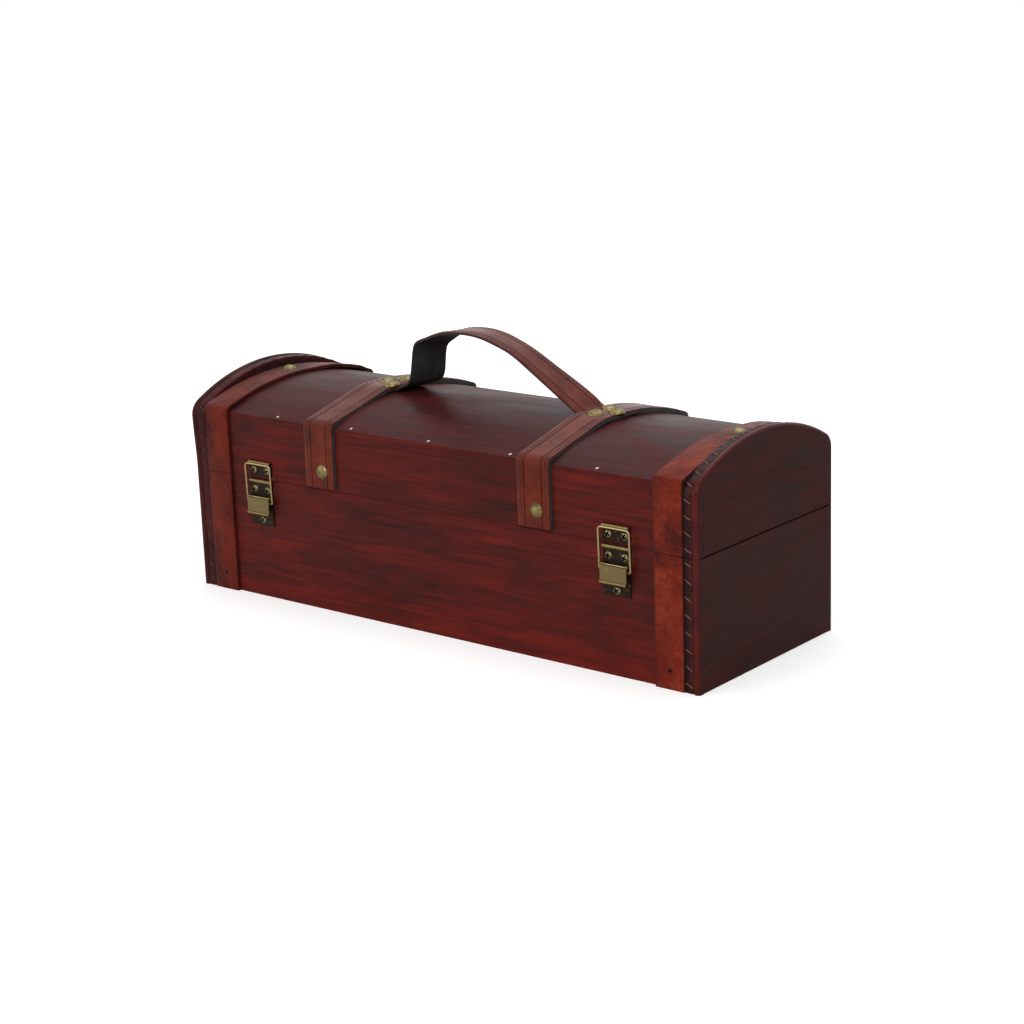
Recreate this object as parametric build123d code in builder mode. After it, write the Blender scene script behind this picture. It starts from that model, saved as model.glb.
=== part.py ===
"""A dome-lidded wooden chest with leather straps, a carry handle and two draw latches.

The long side runs along X, the front looks along -Y and up is +Z.
The origin is the middle of the underside.
"""

import os
from math import atan2, degrees, hypot, sqrt

from build123d import *

os.makedirs("parts", exist_ok=True)

# Overall sizes of the box
box_length = 360.0
box_depth = 128.0
base_height = 72.0
lid_side_height = 37.0
dome_rise = 11.4

# Wood
wall_thick = 7.0
bottom_thick = 5.0
skin_thick = 2.5
rim_chamfer = 0.5

# Leather trim at the ends
trim_thick = 2.2
trim_gap = 0.15
band_width = 18.3
band_corner = 3.0
crest_height = 18.0
crest_rise = 16.9
crest_corner = 9.0
edging_flange = 5.0
edging_round = 4.0

# Straps, each a tan face on a black backing
strap_width = 21.5
strap_spacing = 155.0
strap_layer = 1.2
strap_corner = 3.5
strap_end_gap = 1.5
strap_slack = 0.5

# Carry handle: the line of its underside, from foot to foot
handle_layer = 1.2
handle_rise = 39.0
handle_foot_inset = 1.8
handle_seat_gap = 0.02
handle_point_shares = ((-0.652, 0.0), (-0.6, 0.775), (-0.18, 1.0), (0.13, 0.92), (0.77, 0.0))
handle_bend_shares = (0.17, 0.28, 1.0, 1.1, 0.6)
handle_bend_span_share = 78 / 155

# Brass studs, nails and small dark tacks
stud_rise = 2.2
stud_shank = 0.9
handle_stud_width = 9.8
handle_stud_length = 7.2
handle_stud_pitch = 11.2
handle_stud_inner = 4.0
handle_stud_outer = 5.0
strap_stud_width = 8.5
strap_stud_length = 6.0
strap_stud_drop = 26.0
band_nail_width = 9.0
band_nail_length = 4.5
band_nail_offset = 1.0
tack_width = 2.4
tack_rise = 0.5
tack_shank = 0.5
tack_length = 4.0
lid_tack_offset = 18.0
base_tack_height = 10.3
brad_width = 1.7
brad_length = 13.0
brad_rise = 0.1
thin_shank_share = 1 / 3
head_fullness_share = 0.8
base_brad_shares = (0.21, 0.7, 0.89)
lid_brad_shares = (0.17, 0.45, 0.74)
eave_pin_width = 1.8
eave_pin_length = 5.0
eave_pin_rise = 0.2
eave_pin_inset = 2.4
eave_pin_pitch = 57.4
eave_pin_count = 5

# Latches: a plate, a lever and a wire bail on the base, a keeper on the lid
latch_place_share = 161 / 257
plate_thick = 0.8
plate_width = 17.0
plate_corner = 0.8
plate_drop = 28.0
roll_width = 2.3
roll_bore = 1.0
roll_drop = 1.6
keeper_foot_gap = 1.6
keeper_roll_rise = 9.4
latch_screw_pitch = 10.4
keeper_screw_rise = 5.0
plate_screw_drop = 6.6
foot_screw_drop = 24.8
screw_head_width = 4.6
screw_head_rise = 1.1
screw_shank = 1.0
screw_length = 5.5
lever_drop = 11.0
lever_stand = 2.6
lever_pin_width = 1.0
lever_eye = 1.1
lever_face_stand = 1.2
lever_sheet = 0.7
lever_length = 9.2
lever_lip = 0.8
lever_crank = 2.7
ear_thick = 0.8
ear_eye = 0.95
bail_wire = 1.2
bail_gap = 0.8
bail_bar_drop = 0.4
bail_bend = 2.2
bail_foot_bend = 0.9

# Hinges at the back
hinge_place_share = 127 / 257
hinge_width = 26.0
hinge_leaf_height = 12.0
hinge_leaf_thick = 0.8
hinge_barrel_width = 3.6
hinge_pin_width = 1.6
hinge_stand = 2.4
hinge_screw_pitch = 16.0
hinge_knuckles = 5

# Fits
fit_gap = 0.05
part_gap = 0.3
overrun = 5.0

# Places worked out from the sizes above
half_depth = box_depth / 2
half_length = box_length / 2
wall_face = half_depth - trim_thick
wall_inner = wall_face - wall_thick
wall_middle = wall_face - wall_thick / 2
end_face = half_length - trim_thick
end_inner = end_face - wall_thick
band_inner = end_inner - band_width
band_middle = end_inner - band_width / 2
eave_height = base_height + lid_side_height
dome_top = eave_height + dome_rise
dome_radius = (wall_face**2 + dome_rise**2) / (2 * dome_rise)
crest_top = eave_height + crest_height
crest_radius = (half_depth**2 + crest_rise**2) / (2 * crest_rise)
strap_x = strap_spacing / 2
strap_lift = 2 * handle_layer + strap_slack
strap_bottom = base_height + strap_end_gap
strap_top = dome_top + strap_lift
strap_radius = (wall_face**2 + (dome_rise + strap_lift) ** 2) / (2 * (dome_rise + strap_lift))
strap_edge = strap_x + strap_width / 2
latch_spacing = 2 * (strap_edge + latch_place_share * (band_inner - strap_edge))
latch_x = latch_spacing / 2
hinge_spacing = 2 * (strap_edge + hinge_place_share * (band_inner - strap_edge))
hinge_x = hinge_spacing / 2
hinge_axis_y = wall_face + hinge_stand
trim_bottom = base_height + trim_gap
trim_base_top = base_height - trim_gap

SIDES = (("left", -1), ("right", 1))
FACES = (("front", -1), ("back", 1))


def finish(piece, name):
    """Label a finished piece and write its file."""
    piece.part.label = name
    export_step(piece.part, f"parts/{name}.step")


def arch_outline(half_width, radius, top, bottom, corner=0.0):
    """A face with straight sides and an arc over them, its two shoulders rounded or sharp."""
    shoulder = top - radius + sqrt(radius**2 - half_width**2)
    with BuildSketch() as outline:
        with BuildLine():
            Polyline(
                (-half_width, shoulder),
                (-half_width, bottom),
                (half_width, bottom),
                (half_width, shoulder),
            )
            ThreePointArc((half_width, shoulder), (0, top), (-half_width, shoulder))
        make_face()
        if corner:
            fillet(outline.vertices().group_by(Axis.Y)[-1], corner)
    return outline.sketch


def headed_nail(width, rise, shank, length):
    """A nail, stud or screw along Z: a domed head above zero and a round shank below it.

    At half of its radius the head has the fullness share of its rise.
    """
    with BuildPart() as nail:
        with BuildSketch(Plane.XZ):
            with BuildLine():
                Polyline((width / 2, 0), (shank, 0), (shank, -length), (0, -length), (0, rise))
                ThreePointArc((0, rise), (width / 4, rise * head_fullness_share), (width / 2, 0))
            make_face()
        revolve(axis=Axis.Z)
    return nail.part


def drill(places, radius, depth):
    """Cut a round hole at each place, from just outside it down to the depth."""
    with Locations(*places):
        with Locations((0, 0, overrun)):
            Cylinder(
                radius,
                depth + overrun,
                align=(Align.CENTER, Align.CENTER, Align.MAX),
                mode=Mode.SUBTRACT,
            )


def on_front(x, z, stand=0.0):
    """A place on the front wall, its Z pointing out of the wall."""
    return Location((x, -wall_face - stand, z), (90, 0, 0))


def on_back(x, z, stand=0.0):
    """A place on the back wall, its Z pointing out of the wall."""
    return Location((x, wall_face + stand, z), (-90, 0, 0))


# Outlines across the box, drawn once and shared by what follows them
dome_outline = arch_outline(wall_face, dome_radius, dome_top, base_height)
under_skin = arch_outline(
    wall_face + overrun, dome_radius - skin_thick, dome_top - skin_thick, base_height - overrun
)
crest_outline = arch_outline(half_depth, crest_radius, crest_top, trim_bottom, crest_corner)
end_outline = arch_outline(
    wall_face, crest_radius - trim_thick, crest_top - trim_thick, base_height, crest_corner - trim_thick
)
flange_outline = arch_outline(
    half_depth - edging_flange,
    crest_radius - edging_flange,
    crest_top - edging_flange,
    base_height,
    crest_corner - edging_flange,
)
band_under = arch_outline(wall_face, dome_radius, dome_top, trim_bottom)
band_outline = arch_outline(
    half_depth, dome_radius + trim_thick, dome_top + trim_thick, trim_bottom, band_corner
)
strap_outlines = [
    arch_outline(
        wall_face + layers * strap_layer,
        strap_radius + layers * strap_layer,
        strap_top + layers * strap_layer,
        strap_bottom,
        layers * strap_corner / 2,
    )
    for layers in (0, 1, 2)
]

# Fasteners, each drawn once
handle_stud = headed_nail(handle_stud_width, stud_rise, stud_shank, handle_stud_length)
strap_stud = headed_nail(strap_stud_width, stud_rise, stud_shank, strap_stud_length)
band_nail = headed_nail(band_nail_width, stud_rise, stud_shank, band_nail_length)
tack = headed_nail(tack_width, tack_rise, tack_shank, tack_length)
brad = headed_nail(brad_width, brad_rise, brad_width * thin_shank_share, brad_length)
eave_pin = headed_nail(eave_pin_width, eave_pin_rise, eave_pin_width * thin_shank_share, eave_pin_length)
screw = headed_nail(screw_head_width, screw_head_rise, screw_shank, screw_length)

# Where the fasteners go
strap_stud_z = eave_height - strap_stud_drop
strap_stud_front = [on_front(s * strap_x, strap_stud_z, 2 * strap_layer) for _, s in SIDES]
strap_stud_back = [on_back(s * strap_x, strap_stud_z, 2 * strap_layer) for _, s in SIDES]
handle_stud_z = strap_top + 2 * strap_layer
handle_stud_places = {
    s: [
        Location((s * (strap_x - handle_stud_inner), -handle_stud_pitch / 2, handle_stud_z)),
        Location((s * (strap_x - handle_stud_inner), handle_stud_pitch / 2, handle_stud_z)),
        Location((s * (strap_x + handle_stud_outer), 0, handle_stud_z)),
    ]
    for _, s in SIDES
}
band_nail_places = [
    Location((s * (band_middle + band_nail_offset), 0, dome_top + trim_thick)) for _, s in SIDES
]
base_tack_places = [
    place(s * band_middle, base_tack_height, trim_thick) for _, s in SIDES for place in (on_front, on_back)
]
lid_tack_angle = degrees(atan2(lid_tack_offset, dome_radius))
lid_tack_places = [
    Location(
        (
            s * (band_inner + tack_width),
            lid_tack_offset,
            dome_top - dome_radius + sqrt((dome_radius + trim_thick) ** 2 - lid_tack_offset**2),
        ),
        (-lid_tack_angle, 0, 0),
    )
    for _, s in SIDES
]
base_brad_places = {
    s: [
        Location((s * end_face, f * wall_middle, share * base_height), (0, s * 90, 0))
        for _, f in FACES
        for share in base_brad_shares
    ]
    for _, s in SIDES
}
lid_brad_places = {
    s: [
        Location((s * end_face, f * wall_middle, base_height + share * lid_side_height), (0, s * 90, 0))
        for _, f in FACES
        for share in lid_brad_shares
    ]
    for _, s in SIDES
}
eave_pin_y = wall_face - eave_pin_inset
eave_pin_angle = degrees(atan2(eave_pin_y, sqrt(dome_radius**2 - eave_pin_y**2)))
eave_pin_z = dome_top - dome_radius + sqrt(dome_radius**2 - eave_pin_y**2)
eave_pin_places = [
    Location(
        ((i - (eave_pin_count - 1) / 2) * eave_pin_pitch, f * eave_pin_y, eave_pin_z),
        (-f * eave_pin_angle, 0, 0),
    )
    for i in range(eave_pin_count)
    for _, f in FACES
]
plate_screw_places = {
    s: [
        on_front(s * latch_x - latch_screw_pitch / 2, base_height - plate_screw_drop, plate_thick),
        on_front(s * latch_x + latch_screw_pitch / 2, base_height - plate_screw_drop, plate_thick),
        on_front(s * latch_x, base_height - foot_screw_drop, plate_thick),
    ]
    for _, s in SIDES
}
keeper_screw_places = {
    s: [
        on_front(s * latch_x - latch_screw_pitch / 2, base_height + keeper_screw_rise, plate_thick),
        on_front(s * latch_x + latch_screw_pitch / 2, base_height + keeper_screw_rise, plate_thick),
    ]
    for _, s in SIDES
}
hinge_screw_z = (hinge_barrel_width / 2 + part_gap + hinge_leaf_height) / 2
hinge_base_screws = {
    s: [
        on_back(s * hinge_x + k * hinge_screw_pitch / 2, base_height - hinge_screw_z, hinge_leaf_thick)
        for k in (-1, 1)
    ]
    for _, s in SIDES
}
hinge_lid_screws = {
    s: [
        on_back(s * hinge_x + k * hinge_screw_pitch / 2, base_height + hinge_screw_z, hinge_leaf_thick)
        for k in (-1, 1)
    ]
    for _, s in SIDES
}


def both(places):
    """The places of the left side and the right side in one list."""
    return places[-1] + places[1]


# Walls of the base, with holes for the nails and screws that hold them
with BuildPart() as base_front_panel:
    with BuildSketch(Plane.XY):
        with Locations((0, -wall_middle)):
            Rectangle(2 * end_inner, wall_thick)
    extrude(amount=base_height)
    outer_rim = base_front_panel.edges().filter_by(Axis.X).group_by(Axis.Z)[-1].sort_by(Axis.Y)[0]
    chamfer(outer_rim, rim_chamfer)
    drill(both(plate_screw_places), screw_shank + fit_gap, screw_length)
    drill([place for place in base_tack_places if place.position.Y < 0], tack_shank + fit_gap, tack_length)
    drill(both(base_brad_places), brad_width * thin_shank_share + fit_gap, brad_length)
finish(base_front_panel, "base_front_panel")

with BuildPart() as base_back_panel:
    with BuildSketch(Plane.XY):
        with Locations((0, wall_middle)):
            Rectangle(2 * end_inner, wall_thick)
    extrude(amount=base_height)
    outer_rim = base_back_panel.edges().filter_by(Axis.X).group_by(Axis.Z)[-1].sort_by(Axis.Y)[-1]
    chamfer(outer_rim, rim_chamfer)
    drill(both(hinge_base_screws), screw_shank + fit_gap, screw_length)
    drill([place for place in base_tack_places if place.position.Y > 0], tack_shank + fit_gap, tack_length)
    drill(both(base_brad_places), brad_width * thin_shank_share + fit_gap, brad_length)
finish(base_back_panel, "base_back_panel")

with BuildPart() as base_bottom_panel:
    with BuildSketch(Plane.XY):
        Rectangle(2 * end_inner, 2 * wall_inner)
    extrude(amount=bottom_thick)
finish(base_bottom_panel, "base_bottom_panel")

for side, s in SIDES:
    with BuildPart() as base_end:
        with BuildSketch(Plane.XY):
            with Locations((s * (end_inner + wall_thick / 2), 0)):
                Rectangle(wall_thick, 2 * wall_face)
        extrude(amount=base_height)
        outer_rim = base_end.edges().filter_by(Axis.Y).group_by(Axis.Z)[-1].sort_by(Axis.X)
        chamfer(outer_rim[-1] if s > 0 else outer_rim[0], rim_chamfer)
        drill(base_brad_places[s], brad_width * thin_shank_share + fit_gap, brad_length)
        drill(base_brad_places[s], brad_width / 2 + fit_gap, fit_gap)
    finish(base_end, f"base_{side}_end")

# Leather trim of the base: a flat band and a folded corner edging at each corner
for face, f in FACES:
    for side, s in SIDES:
        with BuildPart() as base_band:
            with BuildSketch(Plane.XY):
                with Locations((s * band_middle, f * (wall_face + trim_thick / 2))):
                    Rectangle(band_width, trim_thick)
            extrude(amount=trim_base_top)
            drill(base_tack_places, tack_shank + fit_gap, tack_length)
        finish(base_band, f"base_{face}_{side}_band")

        with BuildPart() as base_edging:
            with BuildSketch(Plane.XY):
                with BuildLine():
                    Polyline(
                        (s * end_inner, f * wall_face),
                        (s * end_inner, f * half_depth),
                        (s * half_length, f * half_depth),
                        (s * half_length, f * (half_depth - edging_flange)),
                        (s * end_face, f * (half_depth - edging_flange)),
                        (s * end_face, f * wall_face),
                        close=True,
                    )
                make_face()
            extrude(amount=trim_base_top)
            upright = base_edging.edges().filter_by(Axis.Z)
            corner = upright.sort_by(lambda edge: abs(edge.center().X) + abs(edge.center().Y))[-1]
            fillet(corner, edging_round)
        finish(base_edging, f"base_{face}_{side}_edging")

# Walls of the lid, cut to the underside of the bent top
with BuildPart() as lid_front_panel:
    with BuildSketch(Plane.YZ.offset(-end_inner)):
        with Locations((-wall_middle, eave_height)):
            Rectangle(wall_thick, 2 * lid_side_height)
        add(under_skin, mode=Mode.INTERSECT)
    extrude(amount=2 * end_inner)
    drill(both(keeper_screw_places), screw_shank + fit_gap, screw_length)
    drill(strap_stud_front, stud_shank + fit_gap, strap_stud_length)
    drill(both(lid_brad_places), brad_width * thin_shank_share + fit_gap, brad_length)
    drill(eave_pin_places, eave_pin_width * thin_shank_share + fit_gap, eave_pin_length)
finish(lid_front_panel, "lid_front_panel")

with BuildPart() as lid_back_panel:
    with BuildSketch(Plane.YZ.offset(-end_inner)):
        with Locations((wall_middle, eave_height)):
            Rectangle(wall_thick, 2 * lid_side_height)
        add(under_skin, mode=Mode.INTERSECT)
    extrude(amount=2 * end_inner)
    drill(both(hinge_lid_screws), screw_shank + fit_gap, screw_length)
    drill(strap_stud_back, stud_shank + fit_gap, strap_stud_length)
    drill(both(lid_brad_places), brad_width * thin_shank_share + fit_gap, brad_length)
    drill(eave_pin_places, eave_pin_width * thin_shank_share + fit_gap, eave_pin_length)
finish(lid_back_panel, "lid_back_panel")

with BuildPart() as lid_top_skin:
    with BuildSketch(Plane.YZ.offset(-end_inner)):
        add(dome_outline)
        add(under_skin, mode=Mode.SUBTRACT)
    extrude(amount=2 * end_inner)
    drill(both(handle_stud_places), stud_shank + fit_gap, handle_stud_length)
    drill(band_nail_places, stud_shank + fit_gap, band_nail_length)
    drill(lid_tack_places, tack_shank + fit_gap, tack_length)
    drill(eave_pin_places, eave_pin_width * thin_shank_share + fit_gap, eave_pin_length)
finish(lid_top_skin, "lid_top_skin")

# Arched ends of the lid with their leather: a band on the skin and a folded edging on the crest
for side, s in SIDES:
    with BuildPart() as lid_end:
        with BuildSketch(Plane.YZ.offset(s * end_inner)):
            add(end_outline)
        extrude(amount=s * wall_thick)
        drill(lid_brad_places[s], brad_width * thin_shank_share + fit_gap, brad_length)
        drill(lid_brad_places[s], brad_width / 2 + fit_gap, fit_gap)
    finish(lid_end, f"lid_{side}_end")

    with BuildPart() as lid_band:
        with BuildSketch(Plane.YZ.offset(s * end_inner)):
            add(band_outline)
            add(band_under, mode=Mode.SUBTRACT)
        extrude(amount=-s * band_width)
        drill(band_nail_places, stud_shank + fit_gap, band_nail_length)
        drill(lid_tack_places, tack_shank + fit_gap, tack_length)
    finish(lid_band, f"lid_{side}_band")

    with BuildPart() as lid_edging:
        with BuildSketch(Plane.YZ.offset(s * end_inner)):
            add(crest_outline)
        extrude(amount=s * (half_length - end_inner))
        crest_edges = lid_edging.faces().sort_by(Axis.X)[-1 if s > 0 else 0].edges()
        fillet(crest_edges.filter_by(lambda e: e.center().Z > trim_bottom + fit_gap), edging_round)
        with BuildSketch(Plane.YZ.offset(s * end_inner)):
            add(end_outline)
        extrude(amount=s * wall_thick, mode=Mode.SUBTRACT)
        with BuildSketch(Plane.YZ.offset(s * end_inner)):
            add(flange_outline)
        extrude(amount=s * (half_length - end_inner), mode=Mode.SUBTRACT)
    finish(lid_edging, f"lid_{side}_edging")

# Straps over the dome, lifted at the middle by the feet of the handle
for side, s in SIDES:
    for layer, name in ((0, f"{side}_strap_backing"), (1, f"{side}_strap")):
        with BuildPart() as strap:
            with BuildSketch(Plane.YZ.offset(s * strap_x - strap_width / 2)):
                add(strap_outlines[layer + 1])
                add(strap_outlines[layer], mode=Mode.SUBTRACT)
            extrude(amount=strap_width)
            drill(handle_stud_places[s], stud_shank + fit_gap, handle_stud_length)
            drill(strap_stud_front + strap_stud_back, stud_shank + fit_gap, strap_stud_length)
        finish(strap, name)

# Carry handle: one line of bends, thickened into a black backing and a tan face
handle_seat = dome_top + handle_seat_gap
handle_end = strap_x + strap_width / 2 - handle_foot_inset
handle_points = [
    (-handle_end, handle_seat),
    *[(x * strap_x, handle_seat + z * handle_rise) for x, z in handle_point_shares],
    (handle_end, handle_seat),
]
handle_bends = [share * handle_bend_span_share * strap_x for share in handle_bend_shares]


def handle_outline(depth):
    """The face between the underside of the handle and a line above it by the depth."""
    with BuildSketch() as outline:
        with BuildLine() as line:
            FilletPolyline(*handle_points, radius=handle_bends)
            offset(amount=depth, side=Side.LEFT)
        make_face()
    return outline.sketch


backing_outline = handle_outline(handle_layer)
whole_outline = handle_outline(2 * handle_layer)

with BuildPart() as handle_backing:
    with BuildSketch(Plane.XZ):
        add(backing_outline)
    extrude(amount=strap_width / 2, both=True)
    drill(both(handle_stud_places), stud_shank + fit_gap, handle_stud_length)
finish(handle_backing, "handle_backing")

with BuildPart() as carry_handle:
    with BuildSketch(Plane.XZ):
        add(whole_outline)
        add(backing_outline, mode=Mode.SUBTRACT)
    extrude(amount=strap_width / 2, both=True)
    drill(both(handle_stud_places), stud_shank + fit_gap, handle_stud_length)
finish(carry_handle, "carry_handle")

# Groups of fasteners, one file for each kind on each body
for name, nail, places in (
    ("handle_studs", handle_stud, both(handle_stud_places)),
    ("strap_studs", strap_stud, strap_stud_front + strap_stud_back),
    ("band_nails", band_nail, band_nail_places),
    ("lid_band_tacks", tack, lid_tack_places),
    ("base_band_tacks", tack, base_tack_places),
    ("base_brads", brad, both(base_brad_places)),
    ("lid_brads", brad, both(lid_brad_places)),
    ("eave_pins", eave_pin, eave_pin_places),
    ("latch_plate_screws", screw, both(plate_screw_places)),
    ("keeper_screws", screw, both(keeper_screw_places)),
    ("hinge_base_screws", screw, both(hinge_base_screws)),
    ("hinge_lid_screws", screw, both(hinge_lid_screws)),
):
    with BuildPart() as fasteners:
        with Locations(*places):
            add(nail)
    finish(fasteners, name)

# Latches
roll_y = -wall_face - roll_width / 2
pin_y = -wall_face - lever_stand
pin_z = base_height - lever_drop
crank_z = pin_z - lever_crank
keeper_roll_z = base_height + keeper_roll_rise
lever_face_y = pin_y - lever_face_stand
half_plate = plate_width / 2
cheek_inner = half_plate - ear_thick
ear_outer = cheek_inner - part_gap
bail_bar_y = -wall_face - roll_width - part_gap - bail_wire / 2
bail_bar_z = keeper_roll_z - bail_bar_drop
bail_reach = hypot(bail_bar_y - pin_y, bail_bar_z - crank_z)
bail_half = half_plate + bail_gap + bail_wire / 2

for side, s in SIDES:
    x = s * latch_x

    with BuildPart() as latch_plate:
        with BuildSketch(Plane.XZ.offset(wall_face)):
            with Locations((x, base_height - plate_drop)):
                Rectangle(plate_width, plate_drop - roll_drop, align=(Align.CENTER, Align.MIN))
        extrude(amount=plate_thick)
        feet = latch_plate.edges().filter_by(Axis.Y).group_by(Axis.Z)[0]
        fillet(feet, plate_corner)
        with BuildSketch(Plane.YZ.offset(x - half_plate)):
            with Locations((roll_y, base_height - roll_drop)):
                Circle(roll_width / 2)
        extrude(amount=plate_width)
        with BuildSketch(Plane.YZ.offset(x - ear_outer)):
            with Locations((pin_y, pin_z)):
                Circle(ear_eye)
            with Locations(((pin_y - wall_face) / 2, pin_z)):
                Rectangle(lever_stand, 2 * ear_eye)
        extrude(amount=ear_thick)
        with BuildSketch(Plane.YZ.offset(x + ear_outer)):
            with Locations((pin_y, pin_z)):
                Circle(ear_eye)
            with Locations(((pin_y - wall_face) / 2, pin_z)):
                Rectangle(lever_stand, 2 * ear_eye)
        extrude(amount=-ear_thick)
        with BuildSketch(Plane.YZ.offset(x - half_plate)):
            with Locations((roll_y, base_height - roll_drop)):
                Circle(roll_bore / 2)
            with Locations((pin_y, pin_z)):
                Circle(lever_pin_width / 2 + fit_gap / 2)
        extrude(amount=plate_width, mode=Mode.SUBTRACT)
        drill(plate_screw_places[s], screw_shank + fit_gap, screw_length)
    finish(latch_plate, f"{side}_latch_plate")

    with BuildPart() as lever_pin:
        with BuildSketch(Plane.YZ.offset(x - half_plate)):
            with Locations((pin_y, pin_z)):
                Circle(lever_pin_width / 2)
        extrude(amount=plate_width)
    finish(lever_pin, f"{side}_lever_pin")

    with BuildPart() as lever:
        with BuildSketch(Plane.YZ.offset(x - half_plate)):
            with BuildLine():
                Polyline(
                    (lever_face_y - lever_sheet, pin_z),
                    (lever_face_y - lever_sheet, pin_z - lever_length),
                    (lever_face_y, pin_z - lever_length),
                    (lever_face_y, pin_z),
                    close=True,
                )
            make_face()
            with Locations((lever_face_y - lever_sheet, pin_z - lever_length)):
                Circle(lever_lip)
        extrude(amount=plate_width)
        for cheek_x, reach in ((x - half_plate, ear_thick), (x + half_plate, -ear_thick)):
            with BuildSketch(Plane.YZ.offset(cheek_x)):
                with Locations((pin_y, pin_z), (pin_y, crank_z)):
                    Circle(lever_eye)
                with Locations((pin_y, (pin_z + crank_z) / 2)):
                    Rectangle(2 * lever_eye, lever_crank)
                with Locations((pin_y - lever_face_stand / 2, pin_z)):
                    Rectangle(
                        lever_face_stand + lever_eye,
                        lever_crank + lever_eye,
                        align=(Align.CENTER, Align.MAX),
                    )
            extrude(amount=reach)
        with BuildSketch(Plane.YZ.offset(x - half_plate)):
            with Locations((pin_y, pin_z)):
                Circle(lever_pin_width / 2 + fit_gap)
            with Locations((pin_y, crank_z)):
                Circle(bail_wire / 2 + fit_gap)
        extrude(amount=plate_width, mode=Mode.SUBTRACT)
    finish(lever, f"{side}_lever")

    bail_plane = Plane(
        origin=(x, pin_y, crank_z),
        x_dir=(1, 0, 0),
        z_dir=(0, crank_z - bail_bar_z, bail_bar_y - pin_y),
    )
    with BuildPart() as bail:
        with BuildLine(bail_plane) as wire:
            FilletPolyline(
                (-cheek_inner, 0),
                (-bail_half, 0),
                (-bail_half, bail_reach),
                (bail_half, bail_reach),
                (bail_half, 0),
                (cheek_inner, 0),
                radius=[bail_foot_bend, bail_bend, bail_bend, bail_foot_bend],
            )
        with BuildSketch(Plane(origin=wire.line @ 0, z_dir=wire.line % 0)):
            Circle(bail_wire / 2)
        sweep()
    finish(bail, f"{side}_bail")

    with BuildPart() as keeper:
        with BuildSketch(Plane.XZ.offset(wall_face)):
            with Locations((x, base_height + keeper_foot_gap)):
                Rectangle(plate_width, keeper_roll_rise - keeper_foot_gap, align=(Align.CENTER, Align.MIN))
        extrude(amount=plate_thick)
        feet = keeper.edges().filter_by(Axis.Y).group_by(Axis.Z)[0]
        fillet(feet, plate_corner)
        with BuildSketch(Plane.YZ.offset(x - half_plate)):
            with Locations((roll_y, keeper_roll_z)):
                Circle(roll_width / 2)
        extrude(amount=plate_width)
        with BuildSketch(Plane.YZ.offset(x - half_plate)):
            with Locations((roll_y, keeper_roll_z)):
                Circle(roll_bore / 2)
        extrude(amount=plate_width, mode=Mode.SUBTRACT)
        drill(keeper_screw_places[s], screw_shank + fit_gap, screw_length)
    finish(keeper, f"{side}_keeper")

# Hinges: leaves with alternate knuckles on one pin
knuckle_width = hinge_width / hinge_knuckles
leaf_clear = hinge_barrel_width / 2 + part_gap


def hinge_leaf(middle_x, down, odd, screw_places):
    """One leaf on the back wall and its alternate knuckles, hanging down or standing up."""
    with BuildPart() as leaf:
        with BuildSketch(Plane.XZ.offset(-wall_face)):
            with Locations((middle_x, base_height + down * (leaf_clear + hinge_leaf_height) / 2)):
                Rectangle(hinge_width, hinge_leaf_height - leaf_clear)
        extrude(amount=-hinge_leaf_thick)
        for k in range(hinge_knuckles):
            if (k % 2 == 1) != odd:
                continue
            start = middle_x - hinge_width / 2 + k * knuckle_width + fit_gap
            with BuildSketch(Plane.YZ.offset(start)):
                with Locations((hinge_axis_y, base_height)):
                    Circle(hinge_barrel_width / 2)
                with Locations((wall_face, base_height)):
                    Rectangle(
                        hinge_leaf_thick,
                        leaf_clear + overrun,
                        align=(Align.MIN, Align.MAX if down < 0 else Align.MIN),
                    )
            extrude(amount=knuckle_width - 2 * fit_gap)
        with BuildSketch(Plane.YZ.offset(middle_x - hinge_width / 2)):
            with Locations((hinge_axis_y, base_height)):
                Circle(hinge_pin_width / 2 + fit_gap)
        extrude(amount=hinge_width, mode=Mode.SUBTRACT)
        drill(screw_places, screw_shank + fit_gap, screw_length)
    return leaf


for side, s in SIDES:
    finish(hinge_leaf(s * hinge_x, -1, False, hinge_base_screws[s]), f"{side}_hinge_base_leaf")
    finish(hinge_leaf(s * hinge_x, 1, True, hinge_lid_screws[s]), f"{side}_hinge_lid_leaf")

    with BuildPart() as hinge_pin:
        with BuildSketch(Plane.YZ.offset(s * hinge_x - hinge_width / 2)):
            with Locations((hinge_axis_y, base_height)):
                Circle(hinge_pin_width / 2)
        extrude(amount=hinge_width)
    finish(hinge_pin, f"{side}_hinge_pin")
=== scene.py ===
"""A dome-lidded wooden chest with laced leather trim, two straps, a carry handle and two draw latches.

The walls, the latches, the hinges and the small nails of the bands come from the frame. The leather,
its stitches and lacing, the end boards, the dome studs and the screws are made here. Lengths are in
metres, +Z is up and the front looks along -Y.
"""

import math

import bmesh
import bpy
from mathutils import Matrix, Vector


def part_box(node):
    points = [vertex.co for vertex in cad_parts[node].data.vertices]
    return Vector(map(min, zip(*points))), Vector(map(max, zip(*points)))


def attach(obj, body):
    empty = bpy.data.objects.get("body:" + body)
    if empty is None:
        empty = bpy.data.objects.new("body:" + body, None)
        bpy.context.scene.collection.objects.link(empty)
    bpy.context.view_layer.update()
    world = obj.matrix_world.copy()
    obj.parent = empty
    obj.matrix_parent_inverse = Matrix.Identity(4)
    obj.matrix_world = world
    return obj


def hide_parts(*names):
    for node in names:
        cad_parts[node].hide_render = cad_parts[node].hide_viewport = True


bl_info = {
    "name": "Leather-trimmed chest",
    "version": (1, 0, 0),
    "blender": (4, 5, 0),
    "location": "3D View > Sidebar > Chest",
    "description": "Dresses the frame of a dome-lidded chest in leather, stitches and finishes",
    "category": "Object",
}

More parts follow.
